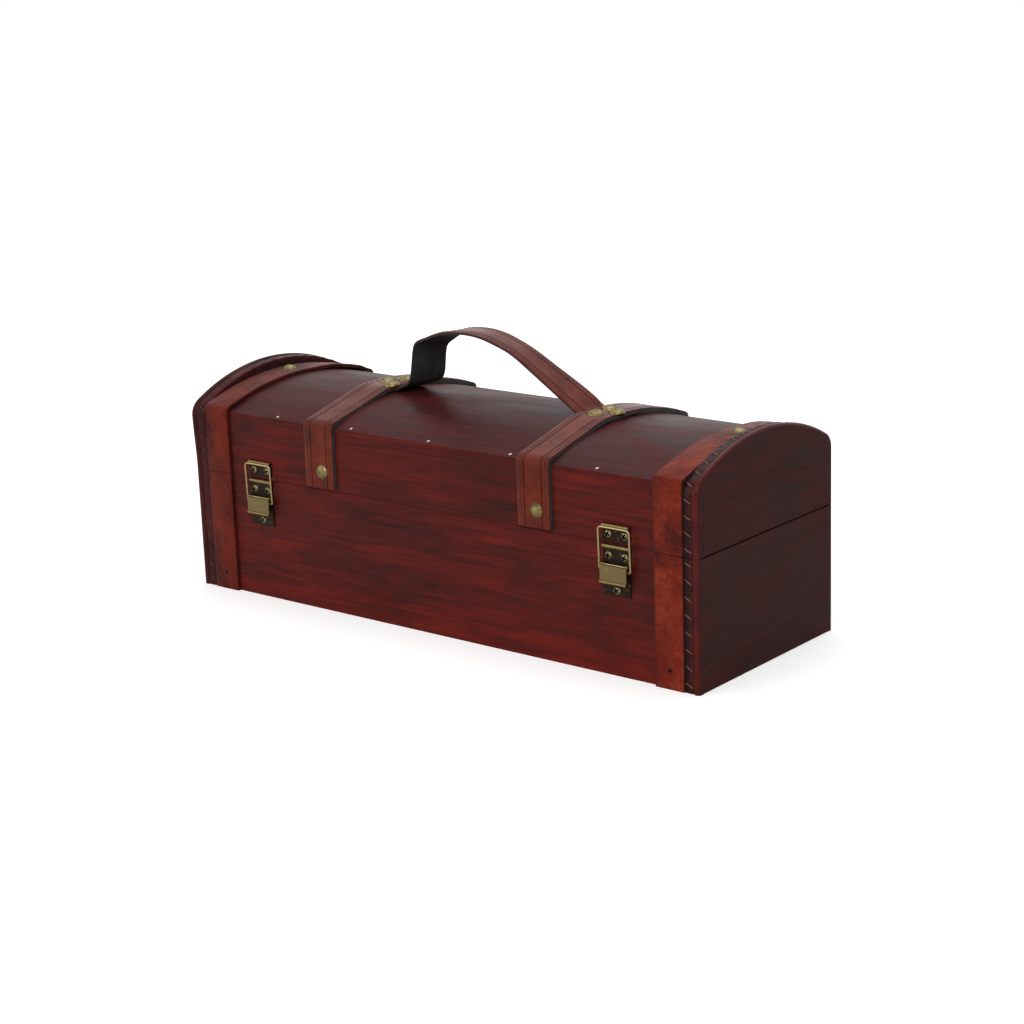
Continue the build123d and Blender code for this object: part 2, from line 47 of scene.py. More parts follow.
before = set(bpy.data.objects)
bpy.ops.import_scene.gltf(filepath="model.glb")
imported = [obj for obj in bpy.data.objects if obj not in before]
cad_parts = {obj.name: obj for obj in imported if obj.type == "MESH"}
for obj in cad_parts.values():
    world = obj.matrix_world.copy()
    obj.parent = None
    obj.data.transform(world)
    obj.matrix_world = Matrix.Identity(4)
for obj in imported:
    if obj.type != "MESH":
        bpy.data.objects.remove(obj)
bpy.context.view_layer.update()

MM = 0.001
SIDES = (("left", -1), ("right", 1))
FACES = (("front", -1), ("back", 1))

# Edges bent more than this look sharp, on swept pieces and on what trees grow
SHARP_SWEPT = math.radians(38.0)
SHARP_GROWN = math.radians(40.0)

# Names of the node trees
THREADS = "Row_of_threads"
NAILS = "Domed_nails"
SCREWS = "Cross_screws"

# The lengths that each tree takes, in their order
ROW_LENGTHS = ("Spacing", "Length", "Width", "Height", "Slant", "Looseness")
HEAD_LENGTHS = ("Head width", "Head rise", "Shank width", "Shank length", "Arm length", "Arm width", "Depth")
LENGTHS = {THREADS: ROW_LENGTHS, NAILS: HEAD_LENGTHS, SCREWS: HEAD_LENGTHS}

# Places read from the frame
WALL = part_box("base_back_panel")[1].y
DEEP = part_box("base_back_right_band")[1].y
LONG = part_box("base_back_right_edging")[1].x
END_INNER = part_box("base_back_panel")[1].x
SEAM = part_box("base_back_panel")[1].z
DOME_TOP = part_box("lid_top_skin")[1].z
CREST_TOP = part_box("lid_right_edging")[1].z
BAND_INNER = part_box("lid_right_band")[0].x
TRIM = DEEP - WALL
TRIM_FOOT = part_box("lid_right_band")[0].z
TRIM_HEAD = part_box("base_back_right_band")[1].z
STRAP_X = sum(corner.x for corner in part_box("right_strap")) / 2
STRAP_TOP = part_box("right_strap")[1].z
STRAP_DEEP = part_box("right_strap")[1].y
STRAP_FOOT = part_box("right_strap")[0].z

# The edging seen from its end: its bead, what the bead and its groove take up, and its turned part
BEAD = 2.0 * MM
BEAD_SPAN = 3.9 * MM
STRIP_SINK = 0.9 * MM
TURNED_DEEP = 2.8 * MM

# Rounding of the upper edges of a strap, a backing and a band
STRAP_ROUND = 0.55 * MM
BACKING_ROUND = 0.3 * MM
BAND_ROUND = 0.6 * MM


def linear(code):
    """The linear colour, with full alpha, of an sRGB hex value."""
    parts = [int(code[i : i + 2], 16) / 255 for i in (1, 3, 5)]
    return tuple(p / 12.92 if p <= 0.04045 else ((p + 0.055) / 1.055) ** 2.4 for p in parts) + (1.0,)


def length(description, millimetres):
    """A property that holds a length, given in millimetres."""
    return bpy.props.FloatProperty(
        description=description, default=millimetres * MM, min=0.0, precision=5, unit="LENGTH"
    )


def colour(description, code):
    """A property that holds a colour, given as an sRGB hex value."""
    return bpy.props.FloatVectorProperty(
        description=description, default=linear(code), size=4, min=0.0, max=1.0, subtype="COLOR"
    )


class ChestSizes(bpy.types.PropertyGroup):
    """Sizes of the chest's leather, stitches and screws."""

    dome_rise: length("Rise of the curved top over the walls of the lid", 11.4)
    crest_rise: length("Rise of the arched end over its shoulders", 16.9)
    crest_corner: length("Rounding of the shoulders of the arched end", 9.0)
    band_corner: length("Rounding of a band where it bends over the top", 3.0)
    strap_width: length("Width of a strap and of the handle", 21.5)
    strap_layer: length("Thickness of the face and of the backing of a strap", 1.2)
    strap_rise: length("Rise of a strap from its shoulders to its top", 14.3)
    strap_corner: length("Rounding of a strap where it bends over the top", 3.5)
    stitch_inset: length("From the edge of a strap to its row of stitches", 2.5)
    crease_inset: length("From the edge of a strap to its pressed line", 4.9)
    crease_depth: length("Depth of the pressed line", 0.35)
    stitch_pitch: length("From one stitch to the next", 2.9)
    stitch_length: length("Length of the thread that shows in one stitch", 2.3)
    thread_width: length("Width of the sewing thread", 0.8)
    lace_pitch: length("From one lace to the next along the edging", 8.4)
    lace_width: length("Width of the lace that wraps the edging", 0.65)
    lace_bulge: length("How far the edging swells between two laces", 0.45)
    screw_width: length("Diameter of a screw head", 4.6)
    screw_rise: length("Height of a screw head", 1.1)
    recess_length: length("Length of one arm of the cross recess, end to end", 3.3)
    recess_width: length("Width of one arm of the cross recess", 0.95)
    handle_layer: length("Thickness of the face and of the backing of the handle", 0.8)
    end_board: length("How far the end boards stand out past the leather", 0.12)
    end_round: length("Rounding of the edges of the end boards", 0.5)
    brad_width: length("Diameter of the small nails in the end boards", 1.9)
    brad_rise: length("Height of the heads of the small nails", 0.25)
    seam_gap: length("How far each end board stays back from the seam", 0.45)
    strap_sink: length("How far the straps are pulled down at the top", 2.0)
    strap_shift: length("How far both straps sit left of their studs", 1.7)
    stud_width: length("Diameter of a dome stud at the feet of the handle", 9.8)
    stud_rise: length("Height of a dome stud", 2.2)
    left_spread: length("How much wider the edging of the left end is", 1.5)
    left_lift: length("How far the edging of the left end rises over the lid", 1.4)


class ChestColours(bpy.types.PropertyGroup):
    """Main colours of the chest's finishes."""

    wood_dark: colour("Dark streaks of the stained walls", "#2d120f")
    wood_middle: colour("Main tone of the stained walls", "#481511")
    wood_bright: colour("Bright red streaks of the stained walls", "#651a13")
    end_dark: colour("Dark tone of the ends", "#261413")
    end_middle: colour("Main tone of the ends", "#321716")
    end_bright: colour("Reddish patches of the ends", "#431a17")
    skin_dark: colour("Dark tone of the curved top", "#2a1212")
    skin_middle: colour("Main tone of the curved top", "#3e1718")
    skin_bright: colour("Reddish tone of the curved top", "#521c1c")
    band: colour("Leather of the flat bands", "#671f12")
    band_dark: colour("Rubbed and oiled places of the bands", "#40140e")
    strap: colour("Face of the straps and the handle", "#5c1d0d")
    strap_dark: colour("Darker places of the straps", "#45160b")
    backing: colour("Black backing and painted edges", "#2b2929")
    edging: colour("Laced strip of the edging", "#3c1614")
    bead: colour("Rounded outer bead of the edging", "#481411")
    brass_dark: colour("Patina of the latches", "#2a221b")
    brass_worn: colour("Rubbed brass of the latches", "#7a6a44")
    stud: colour("Brass of the dome nails", "#7c6f48")


def sizes():
    """The sizes that are set on the scene."""
    return bpy.context.scene.chest_sizes


def feed(tree, node, values):
    """Give inputs of a node a value, or the socket that feeds them."""
    for key, value in values.items():
        if isinstance(value, bpy.types.NodeSocket):
            tree.links.new(value, node.inputs[key])
        else:
            node.inputs[key].default_value = value


def add(tree, kind, values=None, **settings):
    """Add a node with its settings and the values or sockets for its inputs."""
    made = tree.nodes.new(kind)
    for key, value in settings.items():
        setattr(made, key, value)
    feed(tree, made, values or {})
    return made


def first(tree, kind, values=None, **settings):
    """Add a node and give its first output."""
    return add(tree, kind, values, **settings).outputs[0]


def calc(tree, operation, *values, clamp=False):
    """A maths node on values or sockets."""
    return first(tree, "ShaderNodeMath", dict(enumerate(values)), operation=operation, use_clamp=clamp)


def ranged(tree, value, low, high, to_low=0.0, to_high=1.0, curve="LINEAR"):
    """A value moved from one range into another."""
    limits = {"Value": value, "From Min": low, "From Max": high, "To Min": to_low, "To Max": to_high}
    return first(tree, "ShaderNodeMapRange", limits, interpolation_type=curve)


def between(tree, share, a, b):
    """The number that lies that share of the way from a to b."""
    return first(tree, "ShaderNodeMix", {"Factor": share, "A": a, "B": b}, data_type="FLOAT")


def blend(tree, share, a, b):
    """The colour that lies that share of the way from a to b."""
    return add(tree, "ShaderNodeMix", {"Factor": share, "A": a, "B": b}, data_type="RGBA").outputs[2]


def ramp(tree, value, places, tones):
    """The colour that a value picks from tones set at those places."""
    made = add(tree, "ShaderNodeValToRGB", {"Fac": value})
    elements = made.color_ramp.elements
    while len(elements) < len(tones):
        elements.new(1.0)
    for element, place, tone in zip(elements, places, tones):
        element.position = place
        element.color = tone
    return made.outputs[0]


def noise(tree, place, scale=1.0, stretch=None, **values):
    """Noise of that scale, or stretched by a scale for each axis."""
    if stretch:
        place = first(tree, "ShaderNodeMapping", {"Vector": place, "Scale": stretch})
    return first(tree, "ShaderNodeTexNoise", {"Vector": place, "Scale": scale, **values})


def bumped(tree, height, strength, depth, under=None, invert=False):
    """A bump of that depth, laid over the one under it."""
    values = {"Height": height, "Strength": strength, "Distance": depth}
    if under is not None:
        values["Normal"] = under
    return first(tree, "ShaderNodeBump", values, invert=invert)


def coordinate(tree, place, name):
    """One coordinate of a place."""
    return add(tree, "ShaderNodeSeparateXYZ", {"Vector": place}).outputs[name]


def depth_from_middle(tree, place):
    """How far a place lies in front of or behind the middle of the chest."""
    return calc(tree, "ABSOLUTE", coordinate(tree, place, "Y"))


def started(name):
    """A new material, its tree, its shader and its object coordinates."""
    material = bpy.data.materials.new(name)
    material.use_nodes = True
    tree = material.node_tree
    place = add(tree, "ShaderNodeTexCoord").outputs["Object"]
    return material, tree, tree.nodes["Principled BSDF"], place


def grey(value):
    """A grey of that linear value."""
    return (value, value, value, 1.0)


def darker(tone, share):
    """The colour times that share."""
    return [value * share for value in tone[:3]] + [1.0]


def stained_wood(name, tones, along, specular=0.07, roughness=0.42, flush=0.0, shift=0.0, outer=None):
    """Thin beech boards, stained in two coats of red and brown and given a satin lacquer by hand.

    The stain pools in streaks along the grain, so the eye gets dark runs between redder ones,
    hair-fine fibres and short open pores. along is the axis of the grain. flush adds red low on the
    wall, where the brush ended. outer holds the tones of the skin's cut edge, level with the walls.
    """
    material, tree, shader, place = started(name)

    def grained(cross, lengthwise, **values):
        stretch = [cross] * 3
        stretch[along] = lengthwise
        return noise(tree, moved, stretch=stretch, **values)

    # Fibres about 0.7 by 45 mm, streaks 4 by 50 mm, patches of stain 30 by 65 mm, pores 0.3 by 5 mm
    moved = first(tree, "ShaderNodeMapping", {"Vector": place, "Location": (shift, shift, shift)})
    fibre = grained(1400.0, 22.0, Detail=3.0)
    streak = grained(250.0, 20.0, Detail=6.0, Distortion=1.1)
    patch = grained(34.0, 15.0, Detail=5.0, Distortion=0.8)
    pore = grained(3200.0, 200.0, Detail=1.0)
    level = between(tree, 0.26, between(tree, 0.5, streak, patch), fibre)
    if flush:
        low = ranged(tree, coordinate(tree, place, "Z"), 0.0, 26 * MM, flush, 0.0, "SMOOTHSTEP")
        level = calc(tree, "ADD", level, low)
    tone = ramp(tree, level, (0.36, 0.5, 0.66), tones)
    if outer:
        wall_tone = ramp(tree, level, (0.34, 0.5, 0.64), outer)
        on_wall = ranged(tree, depth_from_middle(tree, place), WALL - 0.3 * MM, WALL - 0.1 * MM)
        tone = blend(tree, on_wall, tone, wall_tone)
    pores = ranged(tree, pore, 0.62, 0.74, to_high=0.55)
    fine = bumped(tree, fibre, 0.35, 0.12 * MM)
    look = {
        "Base Color": blend(tree, pores, tone, tones[0]),
        "Roughness": ranged(tree, patch, 0.3, 0.7, roughness - 0.08, roughness + 0.1),
        "Normal": bumped(tree, streak, 0.3, 0.5 * MM, fine),
        "Specular IOR Level": specular,
    }
    feed(tree, shader, look)
    return material


def oiled_leather(name, tones, roughness, specular, grain=900.0, crease=0.0, edge=(), sheen=0.0):
    """Drum-dyed cow leather with a waxed face.

    The dye is uneven and the wax is rubbed off high places, so the eye gets cloudy patches, a fine
    pebbled grain and a soft sheen that grows where it is seen flat. tones are the dark, the main and
    the rubbed one. edge holds (start, end) pairs of distances across, between which it darkens.
    """
    material, tree, shader, place = started(name)
    # Dye clouds about 14 mm across, flecks of 2.5 mm, pebbles about 1 mm
    cloud = noise(tree, place, 70.0, Detail=5.0)
    fleck = noise(tree, place, 420.0, Detail=3.0)
    pebble = first(tree, "ShaderNodeTexVoronoi", {"Vector": place, "Scale": grain})
    tone = ramp(tree, between(tree, 0.3, cloud, fleck), (0.34, 0.52, 0.72), tones)
    for start, end in edge:
        path = first(tree, "ShaderNodeUVMap", uv_map="Path")
        tone = blend(tree, ranged(tree, coordinate(tree, path, "Y"), start, end), tone, tones[0])
    relief = bumped(tree, pebble, 0.3, 0.12 * MM, invert=True)
    if crease:
        fold = noise(tree, place, 110.0, Detail=2.0, Distortion=1.5)
        relief = bumped(tree, fold, crease, 1.2 * MM, relief)
    look = {
        "Base Color": tone,
        "Roughness": ranged(tree, cloud, 0.3, 0.7, roughness + 0.1, roughness - 0.06),
        "Normal": relief,
        "Specular IOR Level": specular,
        "Sheen Weight": sheen,
        "Sheen Roughness": 0.35,
    }
    feed(tree, shader, look)
    return material


def waxed_thread(name, tone, pitch):
    """Twisted and waxed thread: the eye gets a dark line with a fine slanted ply and a dull gloss."""
    material, tree, shader, place = started(name)
    wave = {"Vector": place, "Scale": 1 / pitch, "Distortion": 2.0}
    ply = add(tree, "ShaderNodeTexWave", wave, wave_profile="SIN").outputs[1]
    look = {
        "Base Color": blend(tree, ply, tone, darker(tone, 0.55)),
        "Normal": bumped(tree, ply, 0.4, 0.1 * MM),
        "Roughness": 0.5,
        "Specular IOR Level": 0.3,
    }
    feed(tree, shader, look)
    return material


def aged_brass(name, worn, dark, wear, roughness, raised=None, recess=None):
    """Stamped or turned metal with a brown patina that handling has rubbed off its high places.

    The eye gets dark flats, warm bright rims and a smeared, soft gloss. wear is the share of bright
    metal. raised is a distance from the middle of the chest past which the metal is brighter, partly
    rubbed brass and partly painted light. recess is the near-black colour of the painted shade in
    a screw's cross.
    """
    material, tree, shader, place = started(name)
    # Patina clouds about 3 mm across and scratches about 0.4 mm apart
    cloud = noise(tree, place, 320.0, Detail=6.0)
    line = noise(tree, place, stretch=(2600.0, 900.0, 300.0), Detail=2.0)
    mask = ranged(tree, cloud, 0.75 - 0.6 * wear, 1.0 - 0.6 * wear)
    # Metal standing out past raised is made brighter: partly rubbed brass and partly painted light.
    if raised:
        rubbed = ranged(tree, depth_from_middle(tree, place), raised, raised + 0.5 * MM, to_high=0.8)
        mask = calc(tree, "ADD", mask, rubbed, clamp=True)
    tone = blend(tree, mask, dark, worn)
    # The cross recess is painted near black: painted shade in the recess.
    if recess:
        sunk = add(tree, "ShaderNodeAttribute", attribute_name="sunk", attribute_type="GEOMETRY")
        tone = blend(tree, ranged(tree, sunk.outputs["Fac"], 0.05 * MM, 0.25 * MM), tone, recess)
    look = {
        "Base Color": tone,
        "Roughness": ranged(tree, mask, 0.0, 1.0, roughness + 0.2, roughness),
        "Normal": bumped(tree, cloud, 0.3, 0.15 * MM, bumped(tree, line, 0.15, 0.05 * MM)),
        "Metallic": 1.0,
    }
    feed(tree, shader, look)
    return material


FINISHES = {}


def shade_of(name):
    """The linear colour of a hex value, or the colour of that name set on the scene."""
    return linear(name) if name[0] == "#" else tuple(getattr(bpy.context.scene.chest_colours, name))


def mixed(a, b, share):
    """The colour that lies that share of the way from one named colour to another."""
    return tuple(x + (y - x) * share for x, y in zip(shade_of(a), shade_of(b)))


def make_woods():
    """Make the stained woods. The eye gets red walls, a browner top and darker, duller ends.

    The numbers are the axis of the grain, the specular level and the roughness.
    """
    shades = ("dark", "middle", "bright")
    wall, end, skin = ([shade_of(f"{part}_{shade}") for shade in shades] for part in ("wood", "end", "skin"))
    FINISHES.update(
        wall=stained_wood("Stained_beech_wall_lacquered", wall, 0, flush=0.08),
        lid_wall=stained_wood("Stained_beech_lid_wall_lacquered", wall, 0, shift=0.31),
        end=stained_wood("Stained_beech_end_lacquered", end, 1, 0.05, 0.5),
        skin=stained_wood("Bent_beech_veneer_lacquered", skin, 0, 0.06, 0.4, shift=0.77, outer=wall),
        floor=stained_wood("Stained_beech_bottom_matt", end, 0, 0.05, 0.65),
    )


def make_leathers():
    """Make the leathers, each from its dark, main and rubbed tones.

    The eye gets orange-brown creased bands, darker on the left, smooth tan straps on a black backing,
    and a nearly black laced strip with a painted sheen toward a red polished bead. On the left, strip
    and bead take a darker copy with painted shade. The numbers are the roughness, the specular level
    and the scale of the grain.
    """

    def leather(key, name, tones, *settings, **more):
        shades = [shade_of(shade) if isinstance(shade, str) else shade for shade in tones]
        FINISHES[key] = oiled_leather(name, shades, *settings, **more)

    band_ends = (BAND_INNER + 1.3 * MM, BAND_INNER + 0.2 * MM), (END_INNER - 0.9 * MM, END_INNER - 0.2 * MM)
    # The laced strip is painted darker on its inner side and redder toward the bead: a painted sheen near
    # the bead.
    strip_sheen_span = (END_INNER + 5.2 * MM, END_INNER + 1.5 * MM)
    band = ("band_dark", "band", mixed("band", "#a8502c", 0.3))
    left_band = (mixed("band_dark", "#1c0b08", 0.4), mixed("band", "band_dark", 0.45), "band")
    strap = ("strap_dark", "strap", mixed("strap", "#a05830", 0.2))
    turned = ("end_dark", "end_middle", mixed("end_middle", "end_bright", 0.5))
    leather("band", "Waxed_hide_band", band, 0.42, 0.05, crease=0.5, sheen=0.14, edge=band_ends)
    leather("left_band", "Waxed_hide_band_darkened", left_band, 0.42, 0.05, crease=0.5, sheen=0.22)
    leather("strap", "Waxed_hide_strap", strap, 0.36, 0.08, 1300.0, sheen=0.34)
    leather("pressed", "Creased_hide_line", ("#220d0a", "strap_dark", "strap_dark"), 0.5, 0.08, 1300.0)
    leather("backing", "Black_bonded_leather", ("#171616", "backing", "#323030"), 0.5, 0.15, 1500.0)
    edging = ("#1d0e0e", "edging", "#4f1e1a")
    # The edge darkening here is the painted sheen of the strip toward the bead
    leather("edging", "Oiled_hide_edging", edging, 0.36, 0.08, 1500.0, edge=(strip_sheen_span,))
    # The left strip and bead take this darker copy of the edging: painted shade of the side turned away from
    # the light.
    leather("dark_edging", "Oiled_hide_edging_dark", ("#2a1011", "#3d1717", "#4d1f1c"), 0.36, 0.06, 1500.0)
    leather("bead", "Polished_hide_bead", ("#33100e", "bead", "#5a1c16"), 0.28, 0.1, 1500.0)
    leather("turned", "Stained_hide_turned_over_end", turned, 0.45, 0.07, 1500.0)
    leather("cut", "Cut_hide_edge_stained", ("#240f0b", "#33150f", "#421c15"), 0.6, 0.08)


def make_threads():
    """Make the thread and the laces. The eye gets dark stitches and pale wraps, whose pale tone is partly
    their own colour and partly a painted highlight, with darker wraps of painted shade on the left.
    """
    for key, name, shade, pitch in (
        ("thread", "Waxed_linen_thread", "#2a110d", 0.9 * MM),
        # The pale tone of the laces is partly their own colour and partly a painted highlight.
        ("lace", "Waxed_leather_lace", "#7d5148", 1.6 * MM),
        # The left laces are a darker copy: painted shade.
        ("shaded_lace", "Waxed_leather_lace_dark", "#3a1b1a", 1.6 * MM),
    ):
        FINISHES[key] = waxed_thread(name, shade_of(shade), pitch)


def make_metals():
    """Make the metals, each from its worn and dark tones, its share of wear and its roughness.

    The eye gets black-brown latches whose raised parts are brighter, partly rubbed and partly painted
    light, bright wires, warm brass domes, dull nails and screws with painted shade in their cross.
    """
    # Latch metal standing out past this is brighter, partly as wear and partly as painted light
    raised = {"raised": WALL + 0.85 * MM}
    # Near-black painted shade for the cross recess of the screws
    recess = {"recess": darker(shade_of("brass_dark"), 0.12)}
    for key, name, worn, dark, wear, roughness, more in (
        ("brass", "Stamped_brass_patina", "brass_worn", "brass_dark", 0.25, 0.34, raised),
        ("wire", "Drawn_brass_wire_rubbed", "#9c8a60", "brass_dark", 0.95, 0.3, {}),
        ("stud", "Domed_brass_nail", "stud", "#473d24", 0.75, 0.34, {}),
        ("screw", "Turned_brass_screw", "#7d7152", "brass_dark", 0.85, 0.32, recess),
        ("steel", "Blued_steel_nail", "#3a3432", "#1a1615", 0.4, 0.4, {}),
        ("pin", "Bright_steel_pin", "#a9a39d", "#77706a", 0.9, 0.36, {}),
    ):
        FINISHES[key] = aged_brass(name, shade_of(worn), shade_of(dark), wear, roughness, **more)


CAD_FINISHES = {
    "wall": ["base_front_panel", "base_back_panel"],
    "lid_wall": ["lid_front_panel", "lid_back_panel"],
    "skin": ["lid_top_skin"],
    "floor": ["base_bottom_panel"],
    "brass": [
        f"{side}_{part}"
        for side, _ in SIDES
        for part in ("latch_plate", "lever", "keeper", "hinge_base_leaf", "hinge_lid_leaf")
    ],
    "wire": [f"{side}_{part}" for side, _ in SIDES for part in ("bail", "lever_pin", "hinge_pin")],
    "stud": ["strap_studs", "band_nails"],
    "steel": ["lid_band_tacks", "base_band_tacks"],
    "pin": ["eave_pins"],
}


def placed(name, mesh, body, stands_for=()):
    """A mesh as a finished piece that rides on a body and stands for some nodes of the frame."""
    piece = bpy.data.objects.new(name, mesh)
    bpy.context.scene.collection.objects.link(piece)
    if stands_for:
        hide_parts(*stands_for)
    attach(piece, body)
    return piece


def swept(name, runs, body, materials, stands_for=(), change=None, cap=0):
    """A piece made of closed outlines, each carried along its stations and capped at both ends.

    Each run is (stations, outline, paints). A station is a place, a direction across and one out.
    The outline holds (across, out) pairs, and paints the number of a material for each of its sides.
    """
    shape = bmesh.new()
    layer = shape.loops.layers.uv.new("Path")
    for stations, outline, paints in runs:
        distance = 0.0
        rings = []
        where = {}
        for index, (place, across, out) in enumerate(stations):
            if index:
                distance += (place - stations[index - 1][0]).length
            ring = []
            for a, n in outline:
                new_a, new_n = change(distance, place, a, n) if change else (a, n)
                vertex = shape.verts.new(place + across * new_a + out * new_n)
                where[vertex] = (distance, a)
                ring.append(vertex)
            rings.append(ring)
        made = [shape.faces.new(rings[0]), shape.faces.new(rings[-1])]
        for face in made:
            face.material_index = cap
        for before, after in zip(rings, rings[1:]):
            for i, paint in enumerate(paints):
                j = (i + 1) % len(paints)
                face = shape.faces.new((before[i], before[j], after[j], after[i]))
                face.material_index = paint
                made.append(face)
        for face in made:
            face.smooth = True
            for loop in face.loops:
                loop[layer].uv = where[loop.vert]
    bmesh.ops.recalc_face_normals(shape, faces=shape.faces)
    mesh = bpy.data.meshes.new(name)
    shape.to_mesh(mesh)
    shape.free()
    for material in materials:
        mesh.materials.append(FINISHES[material])
    mesh.set_sharp_from_angle(angle=SHARP_SWEPT)
    return placed(name, mesh, body, stands_for)


def arch_stations(half_width, top, rise, bottom, corner, step, side=1, turn=1.0 * MM):
    """Stations up the front, over an arc that rises over the two sides, and down the back.

    corner rounds the two shoulders. Across points away from the middle of the chest on that side.
    """
    radius = (half_width**2 + rise**2) / (2 * rise)
    centre = top - radius
    reach = radius - corner
    shoulder = centre + math.sqrt(reach**2 - (half_width - corner) ** 2)
    turned = math.atan2(shoulder - centre, half_width - corner)
    across = Vector((side, 0, 0))
    half = []
    count = max(2, round((shoulder - bottom) / step))
    for i in range(count):
        half.append((half_width, bottom + (shoulder - bottom) * i / count, 0.0))
    count = max(4, round(corner * turned / turn))
    for angle in [turned * i / count for i in range(count)]:
        y = half_width - corner + corner * math.cos(angle)
        half.append((y, shoulder + corner * math.sin(angle), angle))
    count = max(4, round(radius * (math.pi / 2 - turned) / step))
    for angle in [turned + (math.pi / 2 - turned) * i / count for i in range(count + 1)]:
        half.append((radius * math.cos(angle), centre + radius * math.sin(angle), angle))

    def station(face, y, z, angle):
        return Vector((0, face * y, z)), across, Vector((0, face * math.cos(angle), math.sin(angle)))

    return [station(-1, *spot) for spot in half] + [station(1, *spot) for spot in reversed(half[:-1])]


def corner_stations(face, side, step, depth):
    """Stations up a corner of the base, at that distance from the middle."""
    count = round(TRIM_HEAD / step)
    across, out = Vector((side, 0, 0)), Vector((0, face, 0))
    return [(Vector((0, face * depth, TRIM_HEAD * i / count)), across, out) for i in range(count + 1)]


def rounded_line(points, bends, step):
    """Points and normals along a line through the given points, with an arc at each bend."""
    line = []
    start = Vector(points[0])
    for index in range(1, len(points)):
        here = Vector(points[index])
        before = (here - Vector(points[index - 1])).normalized()
        last = index == len(points) - 1
        after = before if last else (Vector(points[index + 1]) - here).normalized()
        turn = before.angle_signed(after) if not last else 0.0
        bend = 0.0 if last else bends[index - 1]
        trim = bend * math.tan(abs(turn) / 2)
        end = here - before * trim
        normal = Vector((-before.y, before.x))
        count = max(1, round((end - start).length / step))
        for i in range(count):
            line.append((start.lerp(end, i / count), normal))
        sign = -1.0 if turn > 0 else 1.0
        centre = end + normal * bend * sign
        count = max(1, round(bend * abs(turn) / step))
        for i in range(count if not last else 0):
            angle = abs(turn) * i / count * sign
            spoke = Matrix.Rotation(angle, 2) @ (end - centre)
            line.append((centre + spoke, Matrix.Rotation(angle, 2) @ normal))
        start = here + after * trim
    line.append((start, Vector((-before.y, before.x))))
    return line


def strip_outline(half, low, high, rounding, grooves=(), depth=0.0, shift=0.0):
    """A flat strip seen from its end, its upper edges rounded and lines pressed into its top.

    Returns the outline and, for each of its sides, 0 for the face, 1 for cut edges and 2 for lines.
    """
    bend = []
    for angle in [i * math.pi / 8 for i in range(1, 5)]:
        aside = half - rounding + rounding * math.cos(angle)
        bend.append((aside, high - rounding + rounding * math.sin(angle)))
    groove = 0.4 * MM
    outline = [(-half, low), (half, low), (half, high - rounding), *bend]
    paints = [1, 1, 1, 0, 0, 0, 0]
    for line in sorted([*grooves, *(-g for g in grooves)], reverse=True):
        outline += [(line + groove, high), (line, high - depth), (line - groove, high)]
        paints += [2, 2, 0]
    outline += [(-a, n) for a, n in reversed(bend)] + [(-half, high - rounding)]
    paints += [0, 0, 0, 0, 1]
    return [(a + shift, n) for a, n in outline], paints


def growing_tree(name):
    """A new node tree with lengths, a seed and a material as its inputs, and the sockets of those."""
    tree = bpy.data.node_groups.new(name, "GeometryNodeTree")
    kinds = [("Geometry", "Geometry"), *((label, "Float") for label in LENGTHS[name]), ("Seed", "Int")]
    for label, kind in kinds + [("Material", "Material")]:
        tree.interface.new_socket(label, in_out="INPUT", socket_type="NodeSocket" + kind)
    tree.interface.new_socket("Geometry", in_out="OUTPUT", socket_type="NodeSocketGeometry")
    return tree, add(tree, "NodeGroupInput").outputs


def facing(tree):
    """The rotation that turns +Z to the direction stored as out."""
    stored = add(tree, "GeometryNodeInputNamedAttribute", {"Name": "out"}, data_type="FLOAT_VECTOR")
    out = stored.outputs["Attribute"]
    return first(tree, "FunctionNodeAlignRotationToVector", {"Vector": out}, axis="Z")


def chance(tree, given, low, high):
    """A random number for each point."""
    values = {"Min": low, "Max": high, "Seed": given["Seed"]}
    return add(tree, "FunctionNodeRandomValue", values, data_type="FLOAT").outputs["Value"]


def point(tree, **values):
    """A vector from its coordinates."""
    return first(tree, "ShaderNodeCombineXYZ", values)


def set_on_points(tree, given, points, shape, rotation, angle):
    """End a tree: a shape on each point, turned about its own Z, in the given material."""
    spin = first(tree, "FunctionNodeEulerToRotation", {"Euler": point(tree, Z=angle)})
    turn = {"Rotation": rotation, "Rotate By": spin}
    turned = first(tree, "FunctionNodeRotateRotation", turn, rotation_space="LOCAL")
    values = {"Points": points, "Instance": shape, "Rotation": turned}
    set_out = first(tree, "GeometryNodeInstanceOnPoints", values)
    real = first(tree, "GeometryNodeRealizeInstances", {"Geometry": set_out})
    painted = first(tree, "GeometryNodeSetMaterial", {"Geometry": real, "Material": given["Material"]})
    add(tree, "NodeGroupOutput", {"Geometry": painted})
    return tree


def row_tree(name):
    """A node tree that sets small rounded threads along lines, lying in the surface that out gives."""
    tree, given = growing_tree(name)
    curve = first(tree, "GeometryNodeMeshToCurve", {"Mesh": given["Geometry"]})
    spacing = {"Curve": curve, "Length": given["Spacing"]}
    spaced = first(tree, "GeometryNodeResampleCurve", spacing, mode="LENGTH")
    ball = first(tree, "GeometryNodeMeshUVSphere", {"Segments": 8, "Rings": 6, "Radius": 0.5})
    scale = point(tree, X=given["Length"], Y=given["Width"], Z=given["Height"])
    thread = first(tree, "GeometryNodeTransform", {"Geometry": ball, "Scale": scale})
    along = {"Rotation": facing(tree), "Vector": first(tree, "GeometryNodeInputTangent")}
    lying = first(tree, "FunctionNodeAlignRotationToVector", along, axis="X", pivot_axis="Z")
    less = calc(tree, "MULTIPLY", given["Looseness"], -1.0)
    slant = calc(tree, "ADD", chance(tree, given, less, given["Looseness"]), given["Slant"])
    return set_on_points(tree, given, spaced, thread, lying, slant)


